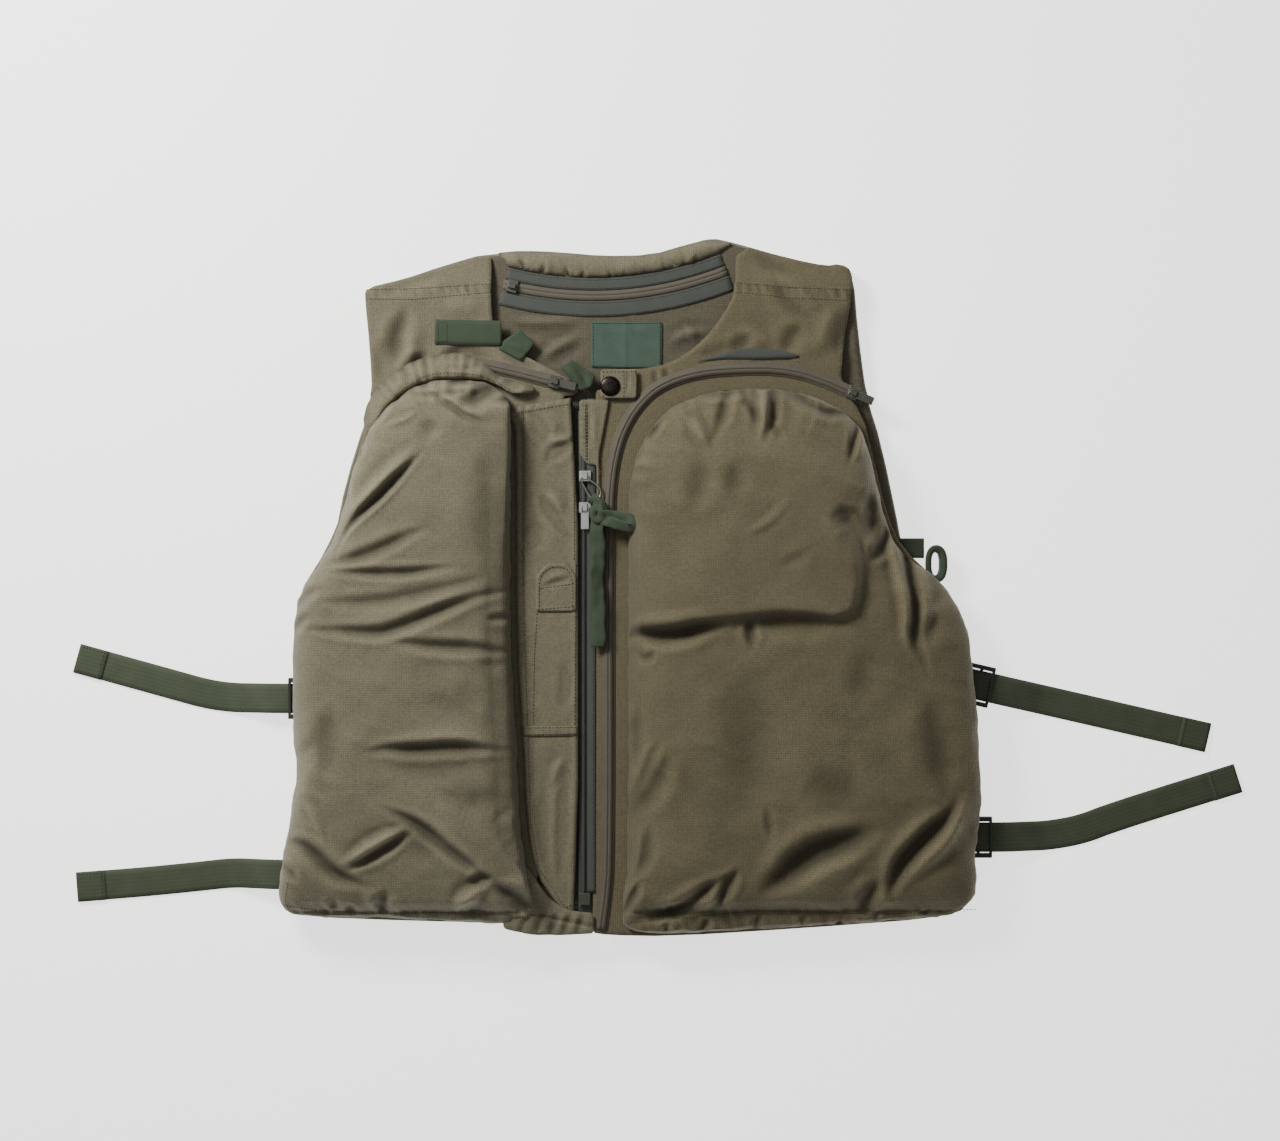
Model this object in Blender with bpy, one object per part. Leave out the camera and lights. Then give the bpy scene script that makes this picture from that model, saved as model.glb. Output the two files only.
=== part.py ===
"""Padded fishing vest, lying on its back with the front uppermost.

The wearer's shoulders point along +Y and the hem along -Y. The origin is on the underside of the back,
on the vest's centre line. "Left" is the -X side. Every figure below is in millimetres, and new_piece()
turns millimetres into Blender's metres.
"""

import math

import bmesh
import bpy
from mathutils import Matrix, Vector

MM = 0.001
GAP = 0.3                      # clearance between pieces that touch

# Levels of the fabric layers, lowest and highest
BACK_SHELL_Z = (0.0, 2.5)
BACK_FOAM_Z = (2.8, 10.8)
BACK_LINING_Z = (11.1, 12.6)
ON_LINING = 12.9               # where pieces sewn on the lining start
FRONT_Z = (19.0, 21.5)
ON_FRONT = 21.8                # where pieces sewn on the fronts start
TAPE_TOP = 22.5
PLACKET_Z = (21.8, 23.4)
ON_PLACKET_Z = (23.7, 24.7)

# Shoulder seams, where each front swings on the back
SEAM_Y = 246.8
SEAM_Z = 21.5
FRONT_TOP_Y = 246.0
YOKE_BOTTOM_Y = 247.6

BACK_OUTLINE = [
    (-213, 250), (-209, 238), (-205, 160), (-221, 115), (-234, 66), (-240, 20), (-240, -250), (-228, -272),
    (262, -276), (277, -262), (277, -60), (262, -25), (240, 0), (234, 41), (217, 123), (205, 160), (198, 213),
    (194, 262), (184, 272), (172, 269), (139, 276), (94, 289), (75, 293), (57, 287), (25, 276), (-16, 275),
    (-49, 279), (-107, 281), (-148, 269), (-180, 258),
]
BACK_FOAM_INSET = 6.0
BACK_LINING_INSET = 1.0

LEFT_YOKE = [(-212, YOKE_BOTTOM_Y), (-211, 249.5), (-180, 257), (-148, 268), (-108, 280), (-106, 265),
             (-107, YOKE_BOTTOM_Y)]
RIGHT_YOKE = [(96, YOKE_BOTTOM_Y), (96, 287), (139, 275), (172, 268), (184, 270), (192, 264),
              (193, YOKE_BOTTOM_Y)]

LEFT_FRONT = [
    (-50, -276), (-50, 160), (-35, 161), (-35, 170), (-60, 184), (-92, 200), (-105, 215), (-107, FRONT_TOP_Y),
    (-211, FRONT_TOP_Y), (-207, 200), (-205, 160), (-216, 115), (-229, 66), (-243, 33), (-264, 0), (-269, -33),
    (-269, -123), (-265, -148), (-273, -197), (-280, -250), (-277, -264), (-266, -270), (-164, -274),
]
RIGHT_FRONT = [
    (94, FRONT_TOP_Y), (86, 228), (66, 203), (41, 187), (15, 182), (-14, 182), (-14, 166), (-22, 164),
    (-22, -262), (-24, -276), (-10, -282), (41, -285), (148, -280), (268, -271), (285, -262), (292, -250),
    (292, -221), (299, -172), (296, -131), (292, -74), (286, -30), (262, 8), (234, 34), (221, 60),
    (208, 115), (200, 146), (182, 168), (185, 205), (192, FRONT_TOP_Y),
]

# Padded pockets: outline, the point the crown rises to, and the crown's profile as share of size and height
LEFT_PAD = [
    (-88.5, 158), (-96, 168), (-115, 175.5), (-164, 173), (-198, 152), (-221, 115), (-234, 66), (-248, 33),
    (-270, 2), (-275, -33), (-276, -123), (-272, -148), (-279, -197), (-286, -250), (-283, -267), (-270, -276),
    (-164, -279), (-76, -284), (-66, -268), (-75, -237), (-81, -190), (-83.5, -120), (-88.5, -40),
]
LEFT_PAD_CENTRE = (-178, -60)
RIGHT_PAD = [
    (-0.5, 70), (3, 100), (14, 131), (33, 153), (54, 165), (84, 172.5), (146, 173), (196, 150), (211, 115),
    (226, 52), (240, 32), (270, 12), (293, -25), (299, -74), (303, -131), (306, -172), (300, -221),
    (299, -254), (291, -267), (271, -277), (148, -286), (41, -291), (0, -289), (-5, -270), (-0.5, -225),
]
RIGHT_PAD_CENTRE = (145, -60)
PAD_CROWN = [(1.0, 21.8), (1.0, 26), (0.98, 33), (0.95, 39), (0.90, 45), (0.82, 50), (0.70, 54), (0.5, 57.5)]
PAD_TOP = 59.0
PAD_WALL = 1.5
PAD_WALL_SHARE = 0.012         # the wall's thickness as a share of the pad's half size
FOAM_SHARE = 0.78
FOAM_Z = (21.9, 44.0)
FOAM_SPLIT_Y = -43.0           # the gap between the upper and the lower foam slab
FOAM_SPLIT_GAP = 8.0

# Placket strip on the left front
PLACKET = [
    (-34.5, -272), (-34.5, 160), (-86, 150), (-86, -40), (-81, -120), (-78, -190), (-70, -234), (-50, -262),
]
PEN_POCKET = [(-70, -18), (-70, 12), (-60, 22), (-44, 22), (-36, 12), (-36, -18)]
PLACKET_BAND = [(-79, -121), (-79, -113), (-36, -113), (-36, -121)]

# Main zip: one coil on each front, both sliders parked on the right one
LEFT_COIL_X = (-41.3, -38.0)
LEFT_COIL_Z = (19.2, 21.4)
LEFT_TAPE_X = (-49.7, -41.6)
LEFT_TAPE_Z = (19.8, 20.8)
RIGHT_COIL_X = (-30.5, -27.5)
RIGHT_COIL_Z = (21.0, 23.2)
RIGHT_TAPE_X = (-27.2, -20.4)
MAIN_ZIP_Y = (-250.0, 158.0)
MAIN_SLIDER_X = -29.0
UPPER_SLIDER_Y = 94.0
LOWER_SLIDER_Y = 68.0

# Slider body: half width, half length, plates and the arch that holds the pull
SLIDER_HALF_W = 5.0
SLIDER_HALF_L = 4.5
SLIDER_BACK = 2.8              # the closed back of a slider that holds one coil
SLIDER_FLANGE = 1.0            # the flanges of a slider that straddles a chain
ARCH_HALF_W = 2.0
ARCH_HALF_L = 3.0
ARCH_HOLE_HALF = 1.2
ARCH_HOLE_H = 2.8
ARCH_TOP_H = 1.2
PULL_AXIS_UP = 1.4             # the pull's axis above the slider's top plate
MAIN_SLIDER_TOP = 25.0

# Pull plate of a slider, from its axis
PULL_HALF_W = 3.4
PULL_BAR = 0.8
PULL_THICK = 0.6               # half of its thickness
PULL_SLOT = 4.3
PULL_LENGTH = 18.0

# Bent wire ring on the upper slider, from its axis, and the ribbon tied through it
RING_PATH = [(-3.4, 0), (-3.4, -4), (0, -10), (3, -16), (8, -20), (13, -17), (13, -11), (8, -6), (3.4, -3.5),
             (3.4, 0)]
RING_WIRE_R = 0.8
RIBBON_WIDTH = 13.0
RIBBON_THICK = 1.2
RIBBON_TAIL = [(-17, 70, 31.5), (-18, 58, 31), (-18.4, 42, 30.2), (-18.5, -47, 30.2)]
RIBBON_LOOP = [(-18, 66, 32), (-9, 63, 37.5), (2, 60, 44.5), (12, 56, 51)]
KNOT_AT = (-16.8, 63, 33)
KNOT_SIZE = (16, 12, 4.5)

# Pocket zips: centre lines, tape and chain widths
LEFT_POCKET_ZIP = [(-203, 158), (-186, 173), (-164, 184), (-140, 188), (-115, 187), (-42, 168.5)]
RIGHT_POCKET_ZIP = [
    (-16, -280), (-12, -252), (-9.8, -222), (-9.8, 60), (-6.6, 103), (3, 136), (23, 163), (48, 176),
    (82, 182.5), (146, 183), (202, 158),
]
POCKET_TAPE_W = 16.0
POCKET_CHAIN_W = 7.0
POCKET_CHAIN_Z = (22.8, 25.0)
LEFT_POCKET_SLIDER_AT = (-54, 171.62)
LEFT_POCKET_DIRECTION = (-73, 18.5)
RIGHT_POCKET_SLIDER_AT = (192, 162.46)
RIGHT_POCKET_DIRECTION = (-56, 25)

# Collar zip inside the back of the neck: arcs about one centre
COLLAR_CENTRE = (-22, 544)
COLLAR_FROM = -14.5            # degrees from straight down
COLLAR_TO = 21.5
COLLAR_UPPER_TAPE_R = (285.3, 295.7)
COLLAR_CHAIN_R = (296.0, 304.0)
COLLAR_LOWER_TAPE_R = (304.3, 317.5)
COLLAR_STEPS = 24
COLLAR_TAPE_Z = (12.9, 13.7)
COLLAR_CHAIN_Z = (12.9, 15.4)
COLLAR_BAND_Z = (12.9, 20.0)
COLLAR_BAND_TOP = [(93, 287), (75, 291), (57, 285), (25, 274.5), (-16, 273.5), (-49, 277.5), (-82, 280),
                   (-102, 279)]
COLLAR_SLIDER_ANGLE = -13.0

LABEL = [(-24.6, 184), (35, 184), (35, 223), (-24.6, 223)]
LABEL_Z = (12.9, 13.4)

# Chest tab on the left front, with its folded tail, and the tape loop at the neck corner
CHEST_TAB = [(-153, 203), (-98, 202), (-99, 197), (-83, 189), (-70, 203), (-83, 216), (-97, 222), (-153, 223)]
CHEST_TAB_Z = (21.8, 23.2)
NECK_LOOP = [(-50, 178), (-38, 190), (-18, 175), (-25, 165)]
NECK_LOOP_Z = (25.6, 26.8)

# Snap tab at the top of the right front
SNAP_TAB = [(-16, 158), (14, 158), (14, 182), (-16, 182)]
SNAP_TAB_Z = (25.4, 27.0)
SNAP_AT = (-8.2, 168)
SNAP_SOCKET_R = 6.0
SNAP_SOCKET_HOLE_R = 3.2
SNAP_CAP_PROFILE = [(8.0, 27.3), (8.0, 28.0), (7.0, 28.9), (4.5, 29.5)]
SNAP_CAP_TOP = 29.7
SNAP_STUD_PROFILE = [(6.5, 21.8), (6.5, 22.5), (2.6, 22.6), (2.6, 24.6)]
SNAP_STUD_TOP = 24.8
SNAP_SOCKET_Z = (22.9, 25.1)
ROUND_SIDES = 24

# Side straps: buckle centre, the strap's free route on the table, and its direction at the buckle
STRAP_WIDTH = 25.0
STRAP_THICK = 1.4
STRAP_Z = 15.1                 # the strap's middle level inside the buckle
STRAP_TABLE_Z = 1.0            # the strap's middle level on the table
STRAP_INSIDE = 70.0            # how far the strap reaches inside, from the buckle's centre
STRAPS = {
    "left_upper": {"buckle": (-264, -90), "route": [(-324, -90), (-345, -87), (-370, -80), (-453, -57)]},
    "left_lower": {"buckle": (-264, -236), "route": [(-324, -236), (-350, -239), (-400, -244), (-453, -248)]},
    "right_upper": {"buckle": (297, -79), "route": [(355, -92.4), (380, -98.1), (420, -107.3), (490, -123.5)]},
    "right_lower": {"buckle": (297, -205), "route": [(357, -205), (385, -200), (410, -190), (515, -157)]},
}
BUCKLE_HALF_W = 17.0
BUCKLE_RAIL_IN = 13.2
BUCKLE_OUT = 11.0
BUCKLE_BAR = 2.4
BUCKLE_ANCHOR_IN = -16.5
BUCKLE_ANCHOR_BAR = 2.0
BUCKLE_Z = (9.0, 10.8, 13.8, 16.3, 18.0)

# Web loops at the right armhole
ARMHOLE_TAB = [(214, 26), (252.6, 26), (252.6, 43), (214, 43)]
ARMHOLE_TAB_Z = (12.9, 14.3)
ARMHOLE_LOOP_AT = (262, 21.5)
ARMHOLE_LOOP_HALF = (9.0, 14.5)
ARMHOLE_SLOT_HALF = (3.2, 10.5)
ARMHOLE_LOOP_Z = (4.0, 17.0)

MATERIALS = {
    "cotton": ("6B6350", 0.9, 0.0),
    "cotton_lining": ("66604E", 0.9, 0.0),
    "foam": ("C9B98A", 0.95, 0.0),
    "webbing": ("3A4430", 0.85, 0.0),
    "zip_tape": ("4A4F44", 0.85, 0.0),
    "zip_coil": ("5C5244", 0.55, 0.0),
    "slider_metal": ("A9ABA8", 0.35, 1.0),
    "snap_metal": ("2E2A28", 0.4, 1.0),
    "buckle_plastic": ("23261F", 0.5, 0.0),
    "label_cloth": ("4A6A57", 0.85, 0.0),
}


# ---------------------------------------------------------------- tools

def clear_scene():
    for obj in list(bpy.data.objects):
        bpy.data.objects.remove(obj, do_unlink=True)


def linear(channel):
    """One sRGB channel, 0 to 1, as linear light."""
    return channel / 12.92 if channel <= 0.04045 else ((channel + 0.055) / 1.055) ** 2.4


def get_material(name):
    if name in bpy.data.materials:
        return bpy.data.materials[name]
    hex_colour, roughness, metallic = MATERIALS[name]
    colour = [linear(int(hex_colour[i:i + 2], 16) / 255) for i in (0, 2, 4)]
    material = bpy.data.materials.new(name)
    material.use_nodes = True
    shader = material.node_tree.nodes["Principled BSDF"]
    shader.inputs["Base Color"].default_value = (*colour, 1.0)
    shader.inputs["Roughness"].default_value = roughness
    shader.inputs["Metallic"].default_value = metallic
    material.diffuse_color = (*colour, 1.0)
    return material


def new_piece(name, bm, material, pivot=None, smooth=False):
    """Make bm, which is in millimetres, an object; a moving piece hangs from the empty pivot."""
    bmesh.ops.scale(bm, vec=(MM, MM, MM), verts=bm.verts)
    bmesh.ops.recalc_face_normals(bm, faces=bm.faces)
    mesh = bpy.data.meshes.new(name)
    bm.to_mesh(mesh)
    bm.free()
    mesh.materials.append(get_material(material))
    if smooth:
        mesh.shade_smooth()
        mesh.set_sharp_from_angle(angle=math.radians(40))
    obj = bpy.data.objects.new(name, mesh)
    bpy.context.collection.objects.link(obj)
    if pivot is not None:
        obj.parent = pivot
        obj.matrix_parent_inverse = Matrix.Translation(-pivot_world(pivot))
    return obj


def new_pivot(name, place, parent=None):
    """An empty on a joint's axis. place is in millimetres."""
    pivot = bpy.data.objects.new(name, None)
    bpy.context.collection.objects.link(pivot)
    world = Vector(place) * MM
    pivot["world"] = tuple(world)
    pivot.location = world
    if parent is not None:
        pivot.parent = parent
        pivot.location = world - pivot_world(parent)
    return pivot


def pivot_world(pivot):
    return Vector(pivot["world"])


def soften(points, rounds=2, closed=True):
    """Round the corners of an outline or an open path by cutting them, a quarter of each side at a time."""
    for _ in range(rounds):
        cut = []
        last = len(points) if closed else len(points) - 1
        for i in range(last):
            a = Vector(points[i])
            b = Vector(points[(i + 1) % len(points)])
            cut += [a.lerp(b, 0.25), a.lerp(b, 0.75)]
        points = cut if closed else [Vector(points[0])] + cut[1:-1] + [Vector(points[-1])]
    return [tuple(p) for p in points]


def inset(outline, distance):
    """Move every point of a closed anticlockwise or clockwise outline inwards by distance."""
    count = len(outline)
    area = sum(outline[i][0] * outline[(i + 1) % count][1] - outline[(i + 1) % count][0] * outline[i][1]
               for i in range(count))
    turn = 1.0 if area > 0 else -1.0
    moved = []
    for i in range(count):
        before = Vector(outline[i - 1])
        after = Vector(outline[(i + 1) % count])
        along = (after - before).normalized()
        inward = Vector((-along.y, along.x)) * turn
        moved.append(tuple(Vector(outline[i]) + inward * distance))
    return moved


def clip(outline, y, keep_above):
    """The part of a closed outline above or below the level y."""
    side = 1.0 if keep_above else -1.0
    kept = []
    for i, a in enumerate(outline):
        b = outline[(i + 1) % len(outline)]
        a_in = side * (a[1] - y) >= 0
        b_in = side * (b[1] - y) >= 0
        if a_in:
            kept.append(a)
        if a_in != b_in:
            share = (y - a[1]) / (b[1] - a[1])
            kept.append((a[0] + share * (b[0] - a[0]), y))
    return kept


def prism(outline, z_range):
    bm = bmesh.new()
    low = [bm.verts.new((x, y, z_range[0])) for x, y in outline]
    high = [bm.verts.new((x, y, z_range[1])) for x, y in outline]
    bm.faces.new(low)
    bm.faces.new(high)
    for i in range(len(outline)):
        j = (i + 1) % len(outline)
        bm.faces.new((low[i], low[j], high[j], high[i]))
    return bm


def ring_prism(outer, inner, z_range):
    """A prism with a hole: outer and inner have the same number of points."""
    bm = bmesh.new()
    loops = []
    for outline, z in ((outer, z_range[0]), (outer, z_range[1]), (inner, z_range[1]), (inner, z_range[0])):
        loops.append([bm.verts.new((x, y, z)) for x, y in outline])
    for k in range(4):
        a = loops[k]
        b = loops[(k + 1) % 4]
        for i in range(len(outer)):
            j = (i + 1) % len(outer)
            bm.faces.new((a[i], a[j], b[j], b[i]))
    return bm


def grid_block(xs, ys, zs, filled):
    """A closed body of the cells that filled(i, j, k) picks from a grid of planes."""
    bm = bmesh.new()
    corners = {}

    def corner(i, j, k):
        if (i, j, k) not in corners:
            corners[i, j, k] = bm.verts.new((xs[i], ys[j], zs[k]))
        return corners[i, j, k]

    def solid(i, j, k):
        inside = 0 <= i < len(xs) - 1 and 0 <= j < len(ys) - 1 and 0 <= k < len(zs) - 1
        return inside and filled(i, j, k)

    for i in range(len(xs) - 1):
        for j in range(len(ys) - 1):
            for k in range(len(zs) - 1):
                if not solid(i, j, k):
                    continue
                if not solid(i - 1, j, k):
                    bm.faces.new([corner(i, j + b, k + c) for b, c in ((0, 0), (0, 1), (1, 1), (1, 0))])
                if not solid(i + 1, j, k):
                    bm.faces.new([corner(i + 1, j + b, k + c) for b, c in ((0, 0), (1, 0), (1, 1), (0, 1))])
                if not solid(i, j - 1, k):
                    bm.faces.new([corner(i + a, j, k + c) for a, c in ((0, 0), (1, 0), (1, 1), (0, 1))])
                if not solid(i, j + 1, k):
                    bm.faces.new([corner(i + a, j + 1, k + c) for a, c in ((0, 0), (0, 1), (1, 1), (1, 0))])
                if not solid(i, j, k - 1):
                    bm.faces.new([corner(i + a, j + b, k) for a, b in ((0, 0), (0, 1), (1, 1), (1, 0))])
                if not solid(i, j, k + 1):
                    bm.faces.new([corner(i + a, j + b, k + 1) for a, b in ((0, 0), (1, 0), (1, 1), (0, 1))])
    return bm


def sweep(path, section, closed=False):
    """Sweep a closed section of (side, up) points along a path; the side direction stays level."""
    bm = bmesh.new()
    points = [Vector(p) for p in path]
    count = len(points)
    rings = []
    for i, point in enumerate(points):
        before = points[i - 1] if closed or i > 0 else point
        after = points[(i + 1) % count] if closed or i < count - 1 else point
        along = (after - before).normalized()
        side = along.cross(Vector((0, 0, 1))).normalized()
        up = side.cross(along)
        rings.append([bm.verts.new(point + side * s + up * u) for s, u in section])
    last = count if closed else count - 1
    for i in range(last):
        a = rings[i]
        b = rings[(i + 1) % count]
        for k in range(len(section)):
            m = (k + 1) % len(section)
            bm.faces.new((a[k], a[m], b[m], b[k]))
    if not closed:
        bm.faces.new(rings[0])
        bm.faces.new(rings[-1])
    return bm


def flat_section(width, thick):
    return [(-width / 2, -thick / 2), (width / 2, -thick / 2), (width / 2, thick / 2), (-width / 2, thick / 2)]


def round_section(radius, sides=8):
    return [(radius * math.cos(2 * math.pi * k / sides), radius * math.sin(2 * math.pi * k / sides))
            for k in range(sides)]


def band(path, width, z_range):
    """A flat band of constant width that follows a level path."""
    middle = (z_range[0] + z_range[1]) / 2
    return sweep([(x, y, middle) for x, y in path], flat_section(width, z_range[1] - z_range[0]))


def turned(centre, profile, top_z):
    """A round body from its base profile of (radius, z) up to a point on its axis."""
    bm = bmesh.new()
    rings = []
    for radius, z in profile:
        rings.append([bm.verts.new((centre[0] + x, centre[1] + y, z))
                      for x, y in round_section(radius, ROUND_SIDES)])
    top = bm.verts.new((centre[0], centre[1], top_z))
    bm.faces.new(rings[0])
    for a, b in zip(rings, rings[1:]):
        for k in range(ROUND_SIDES):
            m = (k + 1) % ROUND_SIDES
            bm.faces.new((a[k], a[m], b[m], b[k]))
    for k in range(ROUND_SIDES):
        bm.faces.new((rings[-1][k], rings[-1][(k + 1) % ROUND_SIDES], top))
    return bm


def crowned_shell(outline, centre):
    """A crowned cover, open underneath, whose rings shrink towards centre as they rise."""
    bm = bmesh.new()

    def ring(share, z):
        return [bm.verts.new((centre[0] + share * (x - centre[0]), centre[1] + share * (y - centre[1]), z))
                for x, y in outline]

    outer = [ring(share, z) for share, z in PAD_CROWN]
    inner = [ring(share - PAD_WALL_SHARE, z if z == PAD_CROWN[0][1] else z - PAD_WALL)
             for share, z in PAD_CROWN]
    outer_top = bm.verts.new((*centre, PAD_TOP))
    inner_top = bm.verts.new((*centre, PAD_TOP - PAD_WALL))
    count = len(outline)
    for rings, top in ((outer, outer_top), (inner, inner_top)):
        for a, b in zip(rings, rings[1:]):
            for i in range(count):
                j = (i + 1) % count
                bm.faces.new((a[i], a[j], b[j], b[i]))
        for i in range(count):
            bm.faces.new((rings[-1][i], rings[-1][(i + 1) % count], top))
    for i in range(count):
        j = (i + 1) % count
        bm.faces.new((outer[0][i], outer[0][j], inner[0][j], inner[0][i]))
    return bm


def arc_points(radius, start_deg, end_deg, steps):
    """Points about the collar's centre, by angle from straight down, positive towards +X."""
    points = []
    for k in range(steps + 1):
        angle = math.radians(start_deg + (end_deg - start_deg) * k / steps)
        points.append((COLLAR_CENTRE[0] + radius * math.sin(angle), COLLAR_CENTRE[1] - radius * math.cos(angle)))
    return points


def arc_band(radii, z_range):
    outer = arc_points(radii[1], COLLAR_FROM, COLLAR_TO, COLLAR_STEPS)
    inner = arc_points(radii[0], COLLAR_FROM, COLLAR_TO, COLLAR_STEPS)
    return prism(outer + inner[::-1], z_range)


def box_outline(x_range, y_range):
    return [(x_range[0], y_range[0]), (x_range[1], y_range[0]), (x_range[1], y_range[1]), (x_range[0], y_range[1])]


def turn_and_place(bm, direction, place):
    """Turn a body made along +Y so that +Y points along direction, then move it to place."""
    angle = math.atan2(direction[1], direction[0]) - math.pi / 2
    bmesh.ops.rotate(bm, cent=(0, 0, 0), matrix=Matrix.Rotation(angle, 3, "Z"), verts=bm.verts)
    bmesh.ops.translate(bm, vec=Vector(place), verts=bm.verts)
    return bm


# ---------------------------------------------------------------- zip hardware

def slider_body(levels, hooked):
    """A zip slider along Y, centred on the origin.

    levels are the foot, the inner floor, the inner roof and the top. A hooked slider holds one coil and
    is open on its +X side; the other kind straddles a closed chain. The arch on top holds the pull.
    """
    wall = SLIDER_BACK if hooked else SLIDER_FLANGE
    foot, floor, roof, top = levels
    xs = [-SLIDER_HALF_W, -SLIDER_HALF_W + wall, -ARCH_HALF_W, ARCH_HALF_W, SLIDER_HALF_W - SLIDER_FLANGE,
          SLIDER_HALF_W]
    ys = [-SLIDER_HALF_L, -ARCH_HALF_L, -ARCH_HOLE_HALF, ARCH_HOLE_HALF, ARCH_HALF_L, SLIDER_HALF_L]
    zs = [foot, floor, roof, top, top + ARCH_HOLE_H, top + ARCH_HOLE_H + ARCH_TOP_H]

    def filled(i, j, k):
        if k == 0:
            return hooked
        if k == 1:
            return i == 0 or (i == 4 and not hooked)
        if k == 2:
            return True
        if k == 3:
            return i == 2 and j in (1, 3)
        return i == 2 and j in (1, 2, 3)

    return grid_block(xs, ys, zs, filled)


def pull_plate():
    """A flat pull whose axis is the X axis; it lies along -Y."""
    xs = [-PULL_HALF_W, -PULL_HALF_W + 1.0, PULL_HALF_W - 1.0, PULL_HALF_W]
    ys = [-PULL_LENGTH, -PULL_SLOT, -PULL_BAR, PULL_BAR]
    zs = [-PULL_THICK, PULL_THICK]
    return grid_block(xs, ys, zs, lambda i, j, k: not (i == 1 and j == 1))


def pocket_slider(prefix, at, direction, parent):
    """The slider and the pull of a pocket zip, on a pivot at the slider."""
    top = POCKET_CHAIN_Z[1] + 1.8
    levels = (TAPE_TOP, TAPE_TOP + GAP, POCKET_CHAIN_Z[1] + GAP, top)
    pivot = new_pivot(prefix + "_slider_travel", (*at, top), parent)
    body = turn_and_place(slider_body(levels, hooked=False), direction, (*at, 0))
    new_piece(prefix + "_slider", body, "slider_metal", pivot)
    axis = new_pivot(prefix + "_pull_turn", (*at, top + PULL_AXIS_UP), pivot)
    pull = turn_and_place(pull_plate(), direction, (*at, top + PULL_AXIS_UP))
    new_piece(prefix + "_pull", pull, "slider_metal", axis)


# ---------------------------------------------------------------- sub-parts

def build_back():
    outline = soften(BACK_OUTLINE, 1)
    new_piece("back_shell", prism(outline, BACK_SHELL_Z), "cotton")
    new_piece("back_foam", prism(inset(outline, BACK_FOAM_INSET), BACK_FOAM_Z), "foam")
    new_piece("back_lining", prism(inset(outline, BACK_LINING_INSET), BACK_LINING_Z), "cotton_lining")
    new_piece("left_shoulder_yoke", prism(LEFT_YOKE, (ON_LINING, SEAM_Z)), "cotton")
    new_piece("right_shoulder_yoke", prism(RIGHT_YOKE, (ON_LINING, SEAM_Z)), "cotton")
    new_piece("size_label", prism(LABEL, LABEL_Z), "label_cloth")


def build_collar():
    lower_edge = arc_points(COLLAR_UPPER_TAPE_R[0] - GAP, COLLAR_FROM, COLLAR_TO, COLLAR_STEPS)
    new_piece("collar_band", prism(lower_edge + COLLAR_BAND_TOP, COLLAR_BAND_Z), "cotton")
    new_piece("collar_zip_upper_tape", arc_band(COLLAR_UPPER_TAPE_R, COLLAR_TAPE_Z), "zip_tape")
    new_piece("collar_zip_chain", arc_band(COLLAR_CHAIN_R, COLLAR_CHAIN_Z), "zip_coil")
    new_piece("collar_zip_lower_tape", arc_band(COLLAR_LOWER_TAPE_R, COLLAR_TAPE_Z), "zip_tape")

    angle = math.radians(COLLAR_SLIDER_ANGLE)
    radius = sum(COLLAR_CHAIN_R) / 2
    at = (COLLAR_CENTRE[0] + radius * math.sin(angle), COLLAR_CENTRE[1] - radius * math.cos(angle))
    levels = (COLLAR_TAPE_Z[1], COLLAR_TAPE_Z[1] + GAP, COLLAR_CHAIN_Z[1] + GAP, COLLAR_CHAIN_Z[1] + 1.6)
    pivot = new_pivot("collar_slider_travel", (*COLLAR_CENTRE, COLLAR_CHAIN_Z[1]))
    body = slider_body(levels, hooked=False)
    widen = Matrix.Diagonal((1.06, 1.0, 1.0))
    bmesh.ops.transform(body, matrix=widen.to_4x4(), verts=body.verts)
    turn_and_place(body, (math.cos(angle), math.sin(angle)), (*at, 0))
    new_piece("collar_zip_slider", body, "slider_metal", pivot)


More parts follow.
